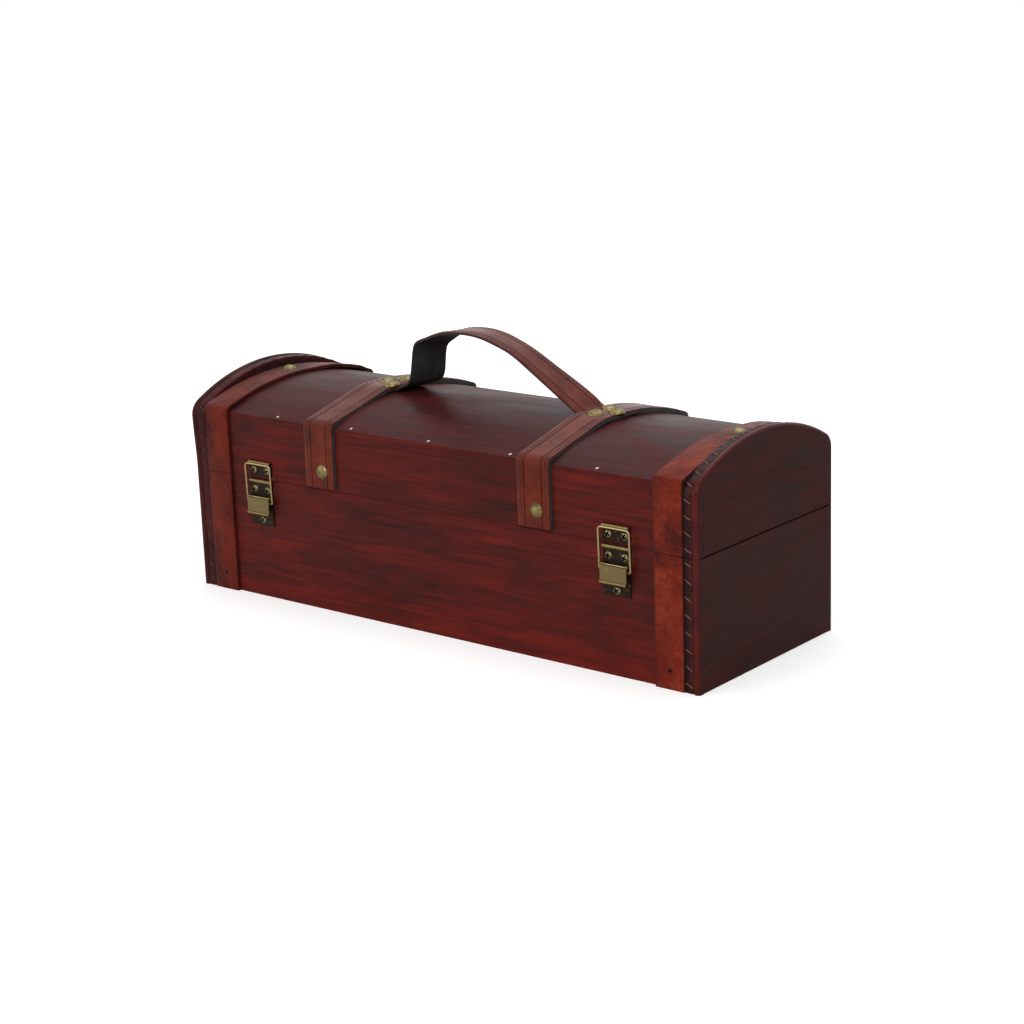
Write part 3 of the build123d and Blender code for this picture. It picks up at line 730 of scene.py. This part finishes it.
def head_tree(name, crossed):
    """A node tree that sets a domed nail, or a screw with a cross recess, on each point, facing out."""
    tree, given = growing_tree(name)
    wide, rise = given["Head width"], given["Head rise"]
    long, arm, thin = given["Shank length"], given["Arm length"], given["Arm width"]
    twice = calc(tree, "MULTIPLY", rise, 2.0)
    ball = first(tree, "GeometryNodeMeshUVSphere", {"Segments": 32, "Rings": 20, "Radius": 0.5})
    flat = point(tree, X=wide, Y=wide, Z=twice)
    cut = first(tree, "GeometryNodeTransform", {"Geometry": ball, "Scale": flat})
    # Two crossed bars and a block under the head, all taken out of the dome
    deep = calc(tree, "MULTIPLY", given["Depth"], 2.0)
    blocks = [(arm, thin, deep, rise), (thin, arm, deep, rise)] if crossed else []
    for x, y, z, place in [*blocks, (long, long, twice, calc(tree, "MULTIPLY", rise, -1.0))]:
        block = first(tree, "GeometryNodeMeshCube", {"Size": point(tree, X=x, Y=y, Z=z)})
        moved = {"Geometry": block, "Translation": point(tree, Z=place)}
        cutter = first(tree, "GeometryNodeTransform", moved)
        pair = {0: cut, 1: cutter}
        cut = first(tree, "GeometryNodeMeshBoolean", pair, operation="DIFFERENCE", solver="EXACT")
    # How far a point lies below the dome, so the recess can take a painted shade
    spot = first(tree, "GeometryNodeInputPosition")
    parts = add(tree, "ShaderNodeSeparateXYZ", {"Vector": spot}).outputs
    level = point(tree, X=parts["X"], Y=parts["Y"])
    radius = add(tree, "ShaderNodeVectorMath", {0: level}, operation="LENGTH").outputs["Value"]
    share = calc(tree, "MULTIPLY", calc(tree, "DIVIDE", radius, wide), 2.0)
    rest = calc(tree, "SUBTRACT", 1.0, calc(tree, "MULTIPLY", share, share), clamp=True)
    surface = calc(tree, "MULTIPLY", calc(tree, "SQRT", rest), rise)
    sunk = {"Geometry": cut, "Name": "sunk", "Value": calc(tree, "SUBTRACT", surface, parts["Z"])}
    marked = first(tree, "GeometryNodeStoreNamedAttribute", sunk, data_type="FLOAT", domain="POINT")
    half = calc(tree, "MULTIPLY", given["Shank width"], 0.5)
    shank = first(tree, "GeometryNodeMeshCylinder", {"Vertices": 16, "Radius": half, "Depth": long})
    under = point(tree, Z=calc(tree, "MULTIPLY", long, -0.5))
    shank = first(tree, "GeometryNodeTransform", {"Geometry": shank, "Translation": under})
    joined = add(tree, "GeometryNodeJoinGeometry", {"Geometry": marked})
    tree.links.new(shank, joined.inputs[0])
    angle = chance(tree, given, 0.0, math.pi)
    return set_on_points(tree, given, given["Geometry"], joined.outputs[0], facing(tree), angle)


def tree_for(name):
    """The node tree of that name, made when it is first asked for."""
    known = bpy.data.node_groups.get(name)
    if known:
        return known
    return row_tree(name) if name == THREADS else head_tree(name, name == SCREWS)


def grown(name, tree, lines, values, seed, finish, body, stands_for=()):
    """The plain mesh of what a tree grows on lines of (place, out) pairs, as a piece on a body.

    The values go to the tree's lengths, in their order.
    """
    seeds = bpy.data.meshes.new(name)
    edges = []
    start = 0
    for line in lines:
        edges += [(start + i, start + i + 1) for i in range(len(line) - 1)]
        start += len(line)
    seeds.from_pydata([place for line in lines for place, _ in line], edges, [])
    outs = seeds.attributes.new("out", "FLOAT_VECTOR", "POINT")
    outs.data.foreach_set("vector", [value for line in lines for _, out in line for value in out])
    carrier = bpy.data.objects.new(name + "_lines", seeds)
    bpy.context.scene.collection.objects.link(carrier)
    modifier = carrier.modifiers.new("Grow", "NODES")
    modifier.node_group = tree_for(tree)
    inputs = dict(zip(LENGTHS[tree], values), Seed=seed, Material=FINISHES[finish])
    for item in modifier.node_group.interface.items_tree:
        if item.in_out == "INPUT" and item.name in inputs:
            modifier[item.identifier] = inputs[item.name]
    graph = bpy.context.evaluated_depsgraph_get()
    mesh = bpy.data.meshes.new_from_object(carrier.evaluated_get(graph))
    bpy.data.objects.remove(carrier)
    if not mesh.polygons:
        raise RuntimeError(f"{name} came out empty")
    mesh.name = name
    mesh.shade_smooth()
    mesh.set_sharp_from_angle(angle=SHARP_GROWN)
    return placed(name, mesh, body, stands_for)


class CHEST_OT_finishes(bpy.types.Operator):
    """Give the wood and metal of the frame their finishes"""

    bl_idname = "chest.finishes"
    bl_label = "Finish wood and metal"

    def execute(self, context):
        make_woods()
        make_leathers()
        make_threads()
        make_metals()
        for finish, nodes in CAD_FINISHES.items():
            for node in nodes:
                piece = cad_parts[node]
                piece.data.materials.clear()
                piece.data.materials.append(FINISHES[finish])
        return {"FINISHED"}


def strap_stations(step=2.2 * MM):
    """Stations along the outer face of a strap: pulled straight in front and arched behind."""
    given = sizes()
    top = STRAP_TOP - given.strap_sink
    shoulder = STRAP_TOP - given.strap_rise
    level_from, soft_bend = -14 * MM, 40 * MM
    points = [(-STRAP_DEEP, STRAP_FOOT), (-STRAP_DEEP, shoulder), (level_from, top), (0.0, top)]
    pulled = rounded_line(points, (given.strap_corner, soft_bend), step)
    front = [(Vector((0, p.x, p.y)), Vector((1, 0, 0)), Vector((0, n.x, n.y))) for p, n in pulled]
    arch = arch_stations(STRAP_DEEP, top, top - shoulder, STRAP_FOOT, given.strap_corner, step)
    return front + [station for station in arch if station[0].y > step / 2]


def smooth_step(value):
    """A smooth ramp from 0 at 0 to 1 at 1."""
    value = min(1.0, max(0.0, value))
    return value * value * (3 - 2 * value)


def fill_shaded_gap(distance, place, across, out):
    """The black backing of a strap is drawn down to the dome, apart from over the feet of the handle.
    It stands partly for the backing and partly for painted shadow in the gap under the strap.
    """
    given = sizes()
    # Only the underside of the backing sinks
    if out > -1.9 * given.strap_layer or place.z < STRAP_TOP - given.strap_rise:
        return across, out
    radius = ((WALL**2) + given.dome_rise**2) / (2 * given.dome_rise)
    dome = DOME_TOP - radius + math.sqrt(max(0.0, radius**2 - place.y**2))
    air, run = 0.1 * MM, 9 * MM
    gap = place.z + out - dome - air
    clear = smooth_step((abs(place.y) - given.strap_width / 2) / run)
    return across, out - max(0.0, gap) * clear


def layered(name, stations, top, layer, stands_for, middle=0.0, spill=0.0, change=None):
    """A tan face with pressed lines on a black backing, whose edges may stick out by a spill."""
    given = sizes()
    half = given.strap_width / 2
    lines = (half - given.crease_inset,)
    face, paints = strip_outline(half, top - layer, top, STRAP_ROUND, lines, given.crease_depth, middle)
    back, _ = strip_outline(half + spill, top - 2 * layer, top - layer, BACKING_ROUND, shift=middle)
    runs = [(stations, face, paints), (stations, back, [1] * len(back))]
    finish = ("strap", "backing", "pressed")
    swept(name, runs, "lid", finish, stands_for, change, cap=1)


class CHEST_OT_straps(bpy.types.Operator):
    """Bend the two straps over the lid, each a tan face on a black backing"""

    bl_idname = "chest.straps"
    bl_label = "Straps"

    def execute(self, context):
        given = sizes()
        stations = strap_stations()
        for name, side in SIDES:
            nodes = (f"{name}_strap", f"{name}_strap_backing")
            middle = side * STRAP_X - given.strap_shift
            piece = f"{name}_strap_leather"
            # The backing's underside fills the gap under the strap, partly as painted shadow
            layered(piece, stations, 0.0, given.strap_layer, nodes, middle, 0.45 * MM, fill_shaded_gap)
        return {"FINISHED"}


# Underside of the handle from its left foot to its right foot, in millimetres: X and Z of the front
# edge, then X and Z of the back edge. The left leg is twisted, so its front edge leads.
HANDLE_EDGES = (
    (-86.4, 120.45, -86.4, 120.45),
    (-70.5, 120.45, -69.0, 120.45),
    (-66.5, 121.0, -63.0, 121.3),
    (-60.8, 123.8, -55.5, 123.6),
    (-56.0, 126.7, -49.6, 126.3),
    (-54.0, 131.0, -46.9, 130.5),
    (-52.6, 138.5, -45.9, 137.0),
    (-51.3, 146.0, -45.0, 143.4),
    (-49.2, 150.2, -43.4, 147.2),
    (-42.2, 153.2, -38.6, 150.6),
    (-32.0, 156.9, -30.0, 155.6),
    (-23.3, 158.2, -21.5, 157.6),
    (-13.1, 158.7, -12.5, 158.0),
    (-4.0, 158.0, -4.0, 157.2),
    (5.0, 156.0, 5.0, 155.0),
    (19.8, 150.8, 19.0, 149.6),
    (35.6, 141.2, 35.0, 141.3),
    (51.1, 131.2, 51.0, 133.0),
    (60.4, 125.2, 60.4, 127.6),
    (66.2, 121.9, 66.2, 123.3),
    (72.0, 120.5, 72.0, 121.0),
    (86.4, 120.45, 86.4, 120.45),
)


def through(knots, steps):
    """A smooth line through the knots, each a tuple of numbers, with that many steps between two."""
    line = []
    for index in range(len(knots) - 1):
        before = knots[max(0, index - 1)]
        start, end = knots[index], knots[index + 1]
        after = knots[min(len(knots) - 1, index + 2)]
        for t in [step / steps for step in range(steps)]:
            spot = []
            for a, b, c, d in zip(before, start, end, after):
                curve = 2 * a - 5 * b + 4 * c - d + t * (3 * (b - c) + d - a)
                spot.append(b + 0.5 * t * (c - a + t * curve))
            line.append(tuple(spot))
    line.append(knots[-1])
    return line


def handle_stations():
    """Stations along the underside of the handle, whose across direction runs from edge to edge."""
    width = sizes().strap_width
    edges = [[value * MM for value in row] for row in through(HANDLE_EDGES, 5)]
    fronts = [Vector((x, -width / 2, z)) for x, z, _, _ in edges]
    backs = [Vector((x, width / 2, z)) for _, _, x, z in edges]
    middles = [(front + back) / 2 for front, back in zip(fronts, backs)]
    stations = []
    for index, middle in enumerate(middles):
        ahead = middles[min(index + 1, len(middles) - 1)] - middles[max(index - 1, 0)]
        across = (backs[index] - fronts[index]) / width
        stations.append((middle, across, ahead.cross(across).normalized()))
    return stations


class CHEST_OT_handle(bpy.types.Operator):
    """Bend the carry handle, whose feet go under the straps"""

    bl_idname = "chest.handle"
    bl_label = "Carry handle"

    def execute(self, context):
        layer = sizes().handle_layer
        layered("handle_leather", handle_stations(), 2 * layer, layer, ("carry_handle", "handle_backing"))
        return {"FINISHED"}


class CHEST_OT_stitches(bpy.types.Operator):
    """Sew a row of stitches along each edge of the straps and the handle"""

    bl_idname = "chest.stitches"
    bl_label = "Stitches"

    def execute(self, context):
        given = sizes()
        reach = given.strap_width / 2 - given.stitch_inset
        lines = []
        sewn = [s for s in strap_stations(1.0 * MM) if s[0].z > STRAP_FOOT + 6 * MM]
        for _, side in SIDES:
            for edge in (-reach, reach):
                aside = side * STRAP_X - given.strap_shift + edge
                lines.append([(place + across * aside, out) for place, across, out in sewn])
        clear = STRAP_X - given.strap_width / 2 + 1 * MM
        sewn = [s for s in handle_stations() if abs(s[0].x) < clear]
        rise = 2 * given.handle_layer
        for edge in (-reach, reach):
            lines.append([(place + across * edge + out * rise, out) for place, across, out in sewn])
        height, slant, looseness = 0.55 * MM, 0.0, 0.07
        thread = (given.stitch_pitch, given.stitch_length, given.thread_width, height, slant, looseness)
        grown("strap_and_handle_stitches", THREADS, lines, thread, 4, "thread", "lid")
        return {"FINISHED"}


class CHEST_OT_bands(bpy.types.Operator):
    """Lay the flat leather bands over the lid and down the base"""

    bl_idname = "chest.bands"
    bl_label = "Bands"

    def execute(self, context):
        given = sizes()
        middle = (BAND_INNER + END_INNER) / 2
        half = (END_INNER - BAND_INNER) / 2
        step = 3 * MM
        arch = (DEEP, DOME_TOP + TRIM, given.dome_rise, TRIM_FOOT, given.band_corner, step)
        outline, paints = strip_outline(half, -TRIM, 0.0, BAND_ROUND, shift=middle)
        for name, side in SIDES:
            finish = ("band" if side > 0 else "left_band", "cut")
            parts = [("lid", "lid", arch_stations(*arch, side), lift_band)]
            for face_name, face in FACES:
                parts.append(("base", f"base_{face_name}", corner_stations(face, side, step, DEEP), None))
            for body, part, stations, change in parts:
                node = f"{part}_{name}_band"
                runs = [(stations, outline, paints)]
                swept(node + "_leather", runs, body, finish, (node,), change, cap=1)
        return {"FINISHED"}


def lift_band(distance, place, across, out):
    """The free inner edge of a lid band stands off the dome behind its middle."""
    lift, width = 0.9 * MM, 9 * MM
    free = 1 - smooth_step((across - BAND_INNER) / width)
    starts = smooth_step((place.y - 8 * MM) / (26 * MM))
    ends = smooth_step((DEEP - 4 * MM - place.y) / (8 * MM))
    return across, out + lift * free * (starts * ends)


def edging_outline():
    """The folded edging seen from its end, from the band over the laced strip and bead to the end face.

    Out is counted from the wall. Paints are 0 for the laced strip, 1 for the bead and 2 for the turned
    part on the end face.
    """
    strip_steps, bead_steps, bead_turn = 10, 8, math.radians(150)
    inner = END_INNER + 0.05 * MM
    tread = inner + 0.25 * MM
    strip = LONG - BEAD_SPAN - tread
    middle, height = LONG - BEAD, TRIM - BEAD + 0.1 * MM
    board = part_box("base_right_end")[1].x
    points = [(inner, 0.0), (inner, TRIM - 1.0 * MM)]
    points += [(tread + strip * i / strip_steps, TRIM - STRIP_SINK) for i in range(strip_steps + 1)]
    for angle in [bead_turn * (1 - i / bead_steps) for i in range(bead_steps + 1)]:
        points.append((middle + BEAD * math.cos(angle), height + BEAD * math.sin(angle)))
    points += [(LONG, -1.2 * MM), (LONG - 0.5 * MM, -2.1 * MM), (board + 0.35 * MM, -TURNED_DEEP)]
    points += [(board + 0.02 * MM, -TURNED_DEEP), (board + 0.02 * MM, 0.0)]
    return points, [0] * (strip_steps + 3) + [1] * bead_steps + [2] * 6


def spread(place, across, out):
    """The edging of the left end, wider than the right one's and higher over the lid."""
    given = sizes()
    share = (across - END_INNER) / (LONG - END_INNER)
    high = smooth_step((place.z - TRIM_HEAD) / (34 * MM)) if out > 0 else 0.0
    return across + given.left_spread * max(0.0, share), out + given.left_lift * high


def swell(distance, place, across, out):
    """The strip swells between two slanted laces and is pinched at each of them."""
    given = sizes()
    slant = 0.5
    # Powers below 1 make the swelling full in the middle and steep at its edges
    along_power, across_power = 0.55, 0.5
    reach = across - END_INNER
    strip = LONG - BEAD_SPAN - END_INNER
    if out < TRIM - 0.95 * MM or reach > strip + 0.01 * MM:
        return across, out
    pillow = abs(math.sin(math.pi * (distance - slant * reach) / given.lace_pitch)) ** along_power
    crown = math.sin(math.pi * min(1.0, max(0.0, reach / strip))) ** across_power
    return across, out + given.lace_bulge * pillow * crown


def lace_line(stations, side):
    """The middle of the laced strip along an edging, clear of its ends."""
    line = []
    foot, clear, groove, sunk = 4 * MM, 3 * MM, 3.7 * MM, 0.75 * MM
    for place, across, out in stations:
        if place.z < foot or TRIM_HEAD - clear < place.z < TRIM_FOOT + clear:
            continue
        aside, rise = (END_INNER + LONG - groove) / 2, TRIM - sunk
        if side < 0:
            aside, rise = spread(place, aside, rise)
        line.append((place + across * aside + out * rise, out))
    return line


class CHEST_OT_edging(bpy.types.Operator):
    """Fold the laced edging round the arched ends of the lid and the corners of the base"""

    bl_idname = "chest.edging"
    bl_label = "Laced edging"

    def execute(self, context):
        given = sizes()
        outline, paints = edging_outline()
        step = 0.7 * MM
        crest = (WALL, CREST_TOP - TRIM, given.crest_rise, TRIM_FOOT, given.crest_corner - TRIM, step)
        reach, height, slant, looseness = LONG - 3.5 * MM - END_INNER, 1.1 * MM, -0.46, 0.06
        lace = (given.lace_pitch, given.lace_width, reach, height, slant, looseness)
        for name, side in SIDES:
            # On the left, strip and bead both take the darker copy with painted shade
            finish = ("edging", "bead", "turned") if side > 0 else ("dark_edging", "dark_edging", "turned")

            def shaped(distance, place, across, out, side=side):
                across, out = swell(distance, place, across, out)
                return (across, out) if side > 0 else spread(place, across, out)

            uprights = [(f"base_{word}", corner_stations(face, side, step, WALL)) for word, face in FACES]
            for body, parts in (("lid", [("lid", arch_stations(*crest, side, step))]), ("base", uprights)):
                for part, stations in parts:
                    node = f"{part}_{name}_edging"
                    runs = [(stations, outline, paints)]
                    swept(node + "_leather", runs, body, finish, (node,), shaped)
                lines = [lace_line(stations, side) for _, stations in parts]
                # On the left the laces take the darker copy with painted shade
                wrap = "lace" if side > 0 else "shaded_lace"
                grown(f"{body}_{name}_lacing", THREADS, lines, lace, 9, wrap, body)
        return {"FINISHED"}


def head_middles(node, axis, side):
    """The middle of each head of a group of nails or screws, at the tip of its dome."""
    least_apart, level = 2 * MM, 0.02 * MM
    corners = [vertex.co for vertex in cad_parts[node].data.vertices]
    tip = max(corner[axis] * side for corner in corners)
    heads = []
    for corner in corners:
        apart = all((corner - other).length > least_apart for other in heads)
        if apart and corner[axis] * side > tip - level:
            heads.append(corner.copy())
    return heads


def end_face(side):
    """How far the outer face of an end board is from the middle of the chest."""
    given = sizes()
    return LONG + given.end_board + (given.left_spread if side < 0 else 0.0)


class CHEST_OT_end_boards(bpy.types.Operator):
    """Fit the boards of the two ends flush with their leather, with small nails along their sides"""

    bl_idname = "chest.end_boards"
    bl_label = "End boards"

    def execute(self, context):
        given = sizes()
        tuck = 1.3 * MM
        across, up = Vector((0, 1, 0)), Vector((0, 0, 1))
        corner = given.crest_corner - TRIM
        arch = arch_stations(WALL, CREST_TOP - TRIM, given.crest_rise, SEAM, corner, 2 * MM)
        crest = [place + out * tuck for place, _, out in arch]
        side_y, foot, top = WALL + tuck, SEAM + given.seam_gap, SEAM - given.seam_gap
        outlines = {
            "lid": [(p.y, max(p.z, foot)) for p in crest],
            "base": [(-side_y, 0.0), (-side_y, top), (side_y, top), (side_y, 0.0)],
        }
        shank = (1.1 * MM, 8.0 * MM)
        nail = (given.brad_width, given.brad_rise, *shank)
        for body, outline in outlines.items():
            lines = []
            for name, side in SIDES:
                reach = end_face(side)
                places = (END_INNER + 0.05 * MM, reach - given.end_round, reach)
                stations = [(Vector((side * x, 0, 0)), across, up) for x in places]

                def rounded(distance, place, a, n, reach=reach):
                    if abs(place.x) < reach - 0.1 * MM:
                        return a, n
                    away = 1 - given.end_round / WALL
                    return a * away, SEAM + (n - SEAM) * away

                runs = [(stations, outline, [0] * len(outline))]
                nodes = (f"{body}_{name}_end",)
                swept(f"{body}_{name}_end_board", runs, body, ("end",), nodes, rounded)
                for spot in head_middles(f"{body}_brads", 0, side):
                    lines.append([(Vector((side * reach, spot.y, spot.z)), Vector((side, 0.0, 0.0)))])
            nodes = (f"{body}_brads",)
            grown(f"{body}_end_brads", NAILS, lines, nail, 3, "steel", body, nodes)
        return {"FINISHED"}


# X and Y, in millimetres, of the three studs through each foot of the handle
STUD_SPOTS = ((-82.0, -0.5), (-71.8, -8.0), (-74.5, 7.5), (75.5, -8.0), (74.5, 6.0), (83.5, 0.5))


class CHEST_OT_studs(bpy.types.Operator):
    """Drive three dome studs through each strap and the foot of the handle under it"""

    bl_idname = "chest.studs"
    bl_label = "Handle studs"

    def execute(self, context):
        given = sizes()
        up = Vector((0.0, 0.0, 1.0))
        seat = STRAP_TOP - given.strap_sink - 0.15 * MM
        lines = [[(Vector((x * MM, y * MM, seat)), up)] for x, y in STUD_SPOTS]
        shank = (1.8 * MM, 5.0 * MM)
        stud = (given.stud_width, given.stud_rise, *shank)
        nodes = ("handle_studs",)
        grown("handle_dome_studs", NAILS, lines, stud, 6, "stud", "lid", nodes)
        return {"FINISHED"}


SCREW_GROUPS = (
    ("latch_plate_screws", "base", -1),
    ("keeper_screws", "lid", -1),
    ("hinge_base_screws", "base", 1),
    ("hinge_lid_screws", "lid", 1),
)


class CHEST_OT_screws(bpy.types.Operator):
    """Set the screws of the latches and hinges, each with a cross recess"""

    bl_idname = "chest.screws"
    bl_label = "Screws"

    def execute(self, context):
        given = sizes()
        shank = (2.0 * MM, 5.5 * MM)
        depth = 0.65 * MM
        screw = (given.screw_width, given.screw_rise, *shank, given.recess_length, given.recess_width, depth)
        for seed, (node, body, face) in enumerate(SCREW_GROUPS, 20):
            out = Vector((0.0, face, 0.0))
            lines = [[(spot - out * given.screw_rise, out)] for spot in head_middles(node, 1, face)]
            grown(f"{node}_crossed", SCREWS, lines, screw, seed, "screw", body, (node,))
        return {"FINISHED"}


# The photograph's viewpoint, fitted to the corners of the chest
VIEW_TURN = math.radians(39.54)
VIEW_LIFT = math.radians(15.305)
VIEW_ROLL = math.radians(-2.065)
VIEW_DISTANCE = 1.29427
VIEW_TARGET = Vector((0.00826, 0.0, 0.05704))
VIEW_LENS = 80.19

FLOOR_HALF = 1.9

# Place, width and power of each soft lamp
LAMPS = (
    ("Key_light", (1.1, -1.3, 1.5), 1.1, 20.0),
    ("Fill_light", (-1.0, -1.6, 0.8), 1.4, 12.0),
    ("Top_light", (-0.2, 0.6, 1.8), 1.4, 12.0),
)


class CHEST_OT_stage(bpy.types.Operator):
    """Set up the floor, the soft lights and the camera"""

    bl_idname = "chest.stage"
    bl_label = "Stage"

    def execute(self, context):
        scene = context.scene
        flat = math.cos(VIEW_LIFT)
        back = Vector((math.sin(VIEW_TURN) * flat, -math.cos(VIEW_TURN) * flat, math.sin(VIEW_LIFT)))
        right = (-back).cross(Vector((0, 0, 1))).normalized()
        up = right.cross(-back)
        across = right * math.cos(VIEW_ROLL) + up * math.sin(VIEW_ROLL)
        upward = -right * math.sin(VIEW_ROLL) + up * math.cos(VIEW_ROLL)
        lens = bpy.data.cameras.new("Studio_camera")
        lens.sensor_width = 36.0
        lens.lens = VIEW_LENS
        camera = bpy.data.objects.new("Studio_camera", lens)
        turn = Matrix((across, upward, back)).transposed().to_4x4()
        camera.matrix_world = Matrix.Translation(VIEW_TARGET + back * VIEW_DISTANCE) @ turn
        scene.camera = camera

        world = bpy.data.worlds.new("Studio_world")
        world.use_nodes = True
        tree = world.node_tree
        ray = add(tree, "ShaderNodeLightPath").outputs
        seen = calc(tree, "ADD", ray["Is Camera Ray"], ray["Is Glossy Ray"])
        seen = calc(tree, "ADD", seen, ray["Is Transmission Ray"], clamp=True)
        strength = ranged(tree, seen, 0.0, 1.0, 0.5, 1.0)
        feed(tree, tree.nodes["Background"], {"Color": grey(1.0), "Strength": strength})
        scene.world = world

        material, tree, shader, place = started("Matt_white_paper")
        # Paper tooth about 2 mm across. Light is added only for rays that look at it, and less of it near
        # the chest, so that the eye gets a white ground with a soft shadow.
        tooth = noise(tree, place, 500.0)
        away = add(tree, "ShaderNodeVectorMath", {0: place}, operation="LENGTH").outputs["Value"]
        glow = ranged(tree, away, 0.2, 0.6, 0.3, 0.5)
        ray = add(tree, "ShaderNodeLightPath").outputs
        look = {
            "Base Color": ramp(tree, tooth, (0.0, 1.0), (grey(0.86), grey(0.9))),
            "Roughness": 0.9,
            "Specular IOR Level": 0.0,
            "Emission Color": grey(1.0),
            "Emission Strength": calc(tree, "MULTIPLY", ray["Is Camera Ray"], glow),
        }
        feed(tree, shader, look)
        shape = bmesh.new()
        bmesh.ops.create_grid(shape, x_segments=1, y_segments=1, size=FLOOR_HALF)
        mesh = bpy.data.meshes.new("Floor")
        shape.to_mesh(mesh)
        shape.free()
        mesh.materials.append(material)
        stage = [bpy.data.objects.new("Floor", mesh), camera]

        for name, spot, width, power in LAMPS:
            lamp = bpy.data.lights.new(name, "AREA")
            lamp.shape = "SQUARE"
            lamp.size = width
            lamp.energy = power
            light = bpy.data.objects.new(name, lamp)
            light.location = spot
            light.rotation_euler = (VIEW_TARGET - Vector(spot)).to_track_quat("-Z", "Y").to_euler()
            stage.append(light)
        for item in stage:
            scene.collection.objects.link(item)
        scene.view_settings.view_transform = "Standard"
        return {"FINISHED"}


OPERATORS = (
    CHEST_OT_finishes,
    CHEST_OT_straps,
    CHEST_OT_handle,
    CHEST_OT_stitches,
    CHEST_OT_bands,
    CHEST_OT_edging,
    CHEST_OT_end_boards,
    CHEST_OT_studs,
    CHEST_OT_screws,
    CHEST_OT_stage,
)


class CHEST_PT_panel(bpy.types.Panel):
    """The chest's sizes, colours and pieces"""

    bl_label = "Chest"
    bl_idname = "CHEST_PT_panel"
    bl_space_type = "VIEW_3D"
    bl_region_type = "UI"
    bl_category = "Chest"

    def draw(self, context):
        for group in (context.scene.chest_sizes, context.scene.chest_colours):
            box = self.layout.box()
            for key in group.__annotations__:
                box.prop(group, key, text=key.replace("_", " ").capitalize())
        for operator in OPERATORS:
            self.layout.operator(operator.bl_idname)


CLASSES = (ChestSizes, ChestColours, *OPERATORS, CHEST_PT_panel)


def register():
    """Add the classes and the sizes and colours of the scene."""
    for item in CLASSES:
        bpy.utils.register_class(item)
    bpy.types.Scene.chest_sizes = bpy.props.PointerProperty(type=ChestSizes)
    bpy.types.Scene.chest_colours = bpy.props.PointerProperty(type=ChestColours)


def unregister():
    """Take the classes, sizes and colours away again."""
    del bpy.types.Scene.chest_colours
    del bpy.types.Scene.chest_sizes
    for item in reversed(CLASSES):
        bpy.utils.unregister_class(item)


def main():
    """Make every piece in order."""
    register()
    for operator in OPERATORS:
        prefix, name = operator.bl_idname.split(".")
        getattr(getattr(bpy.ops, prefix), name)()


if __name__ == "__main__":
    main()
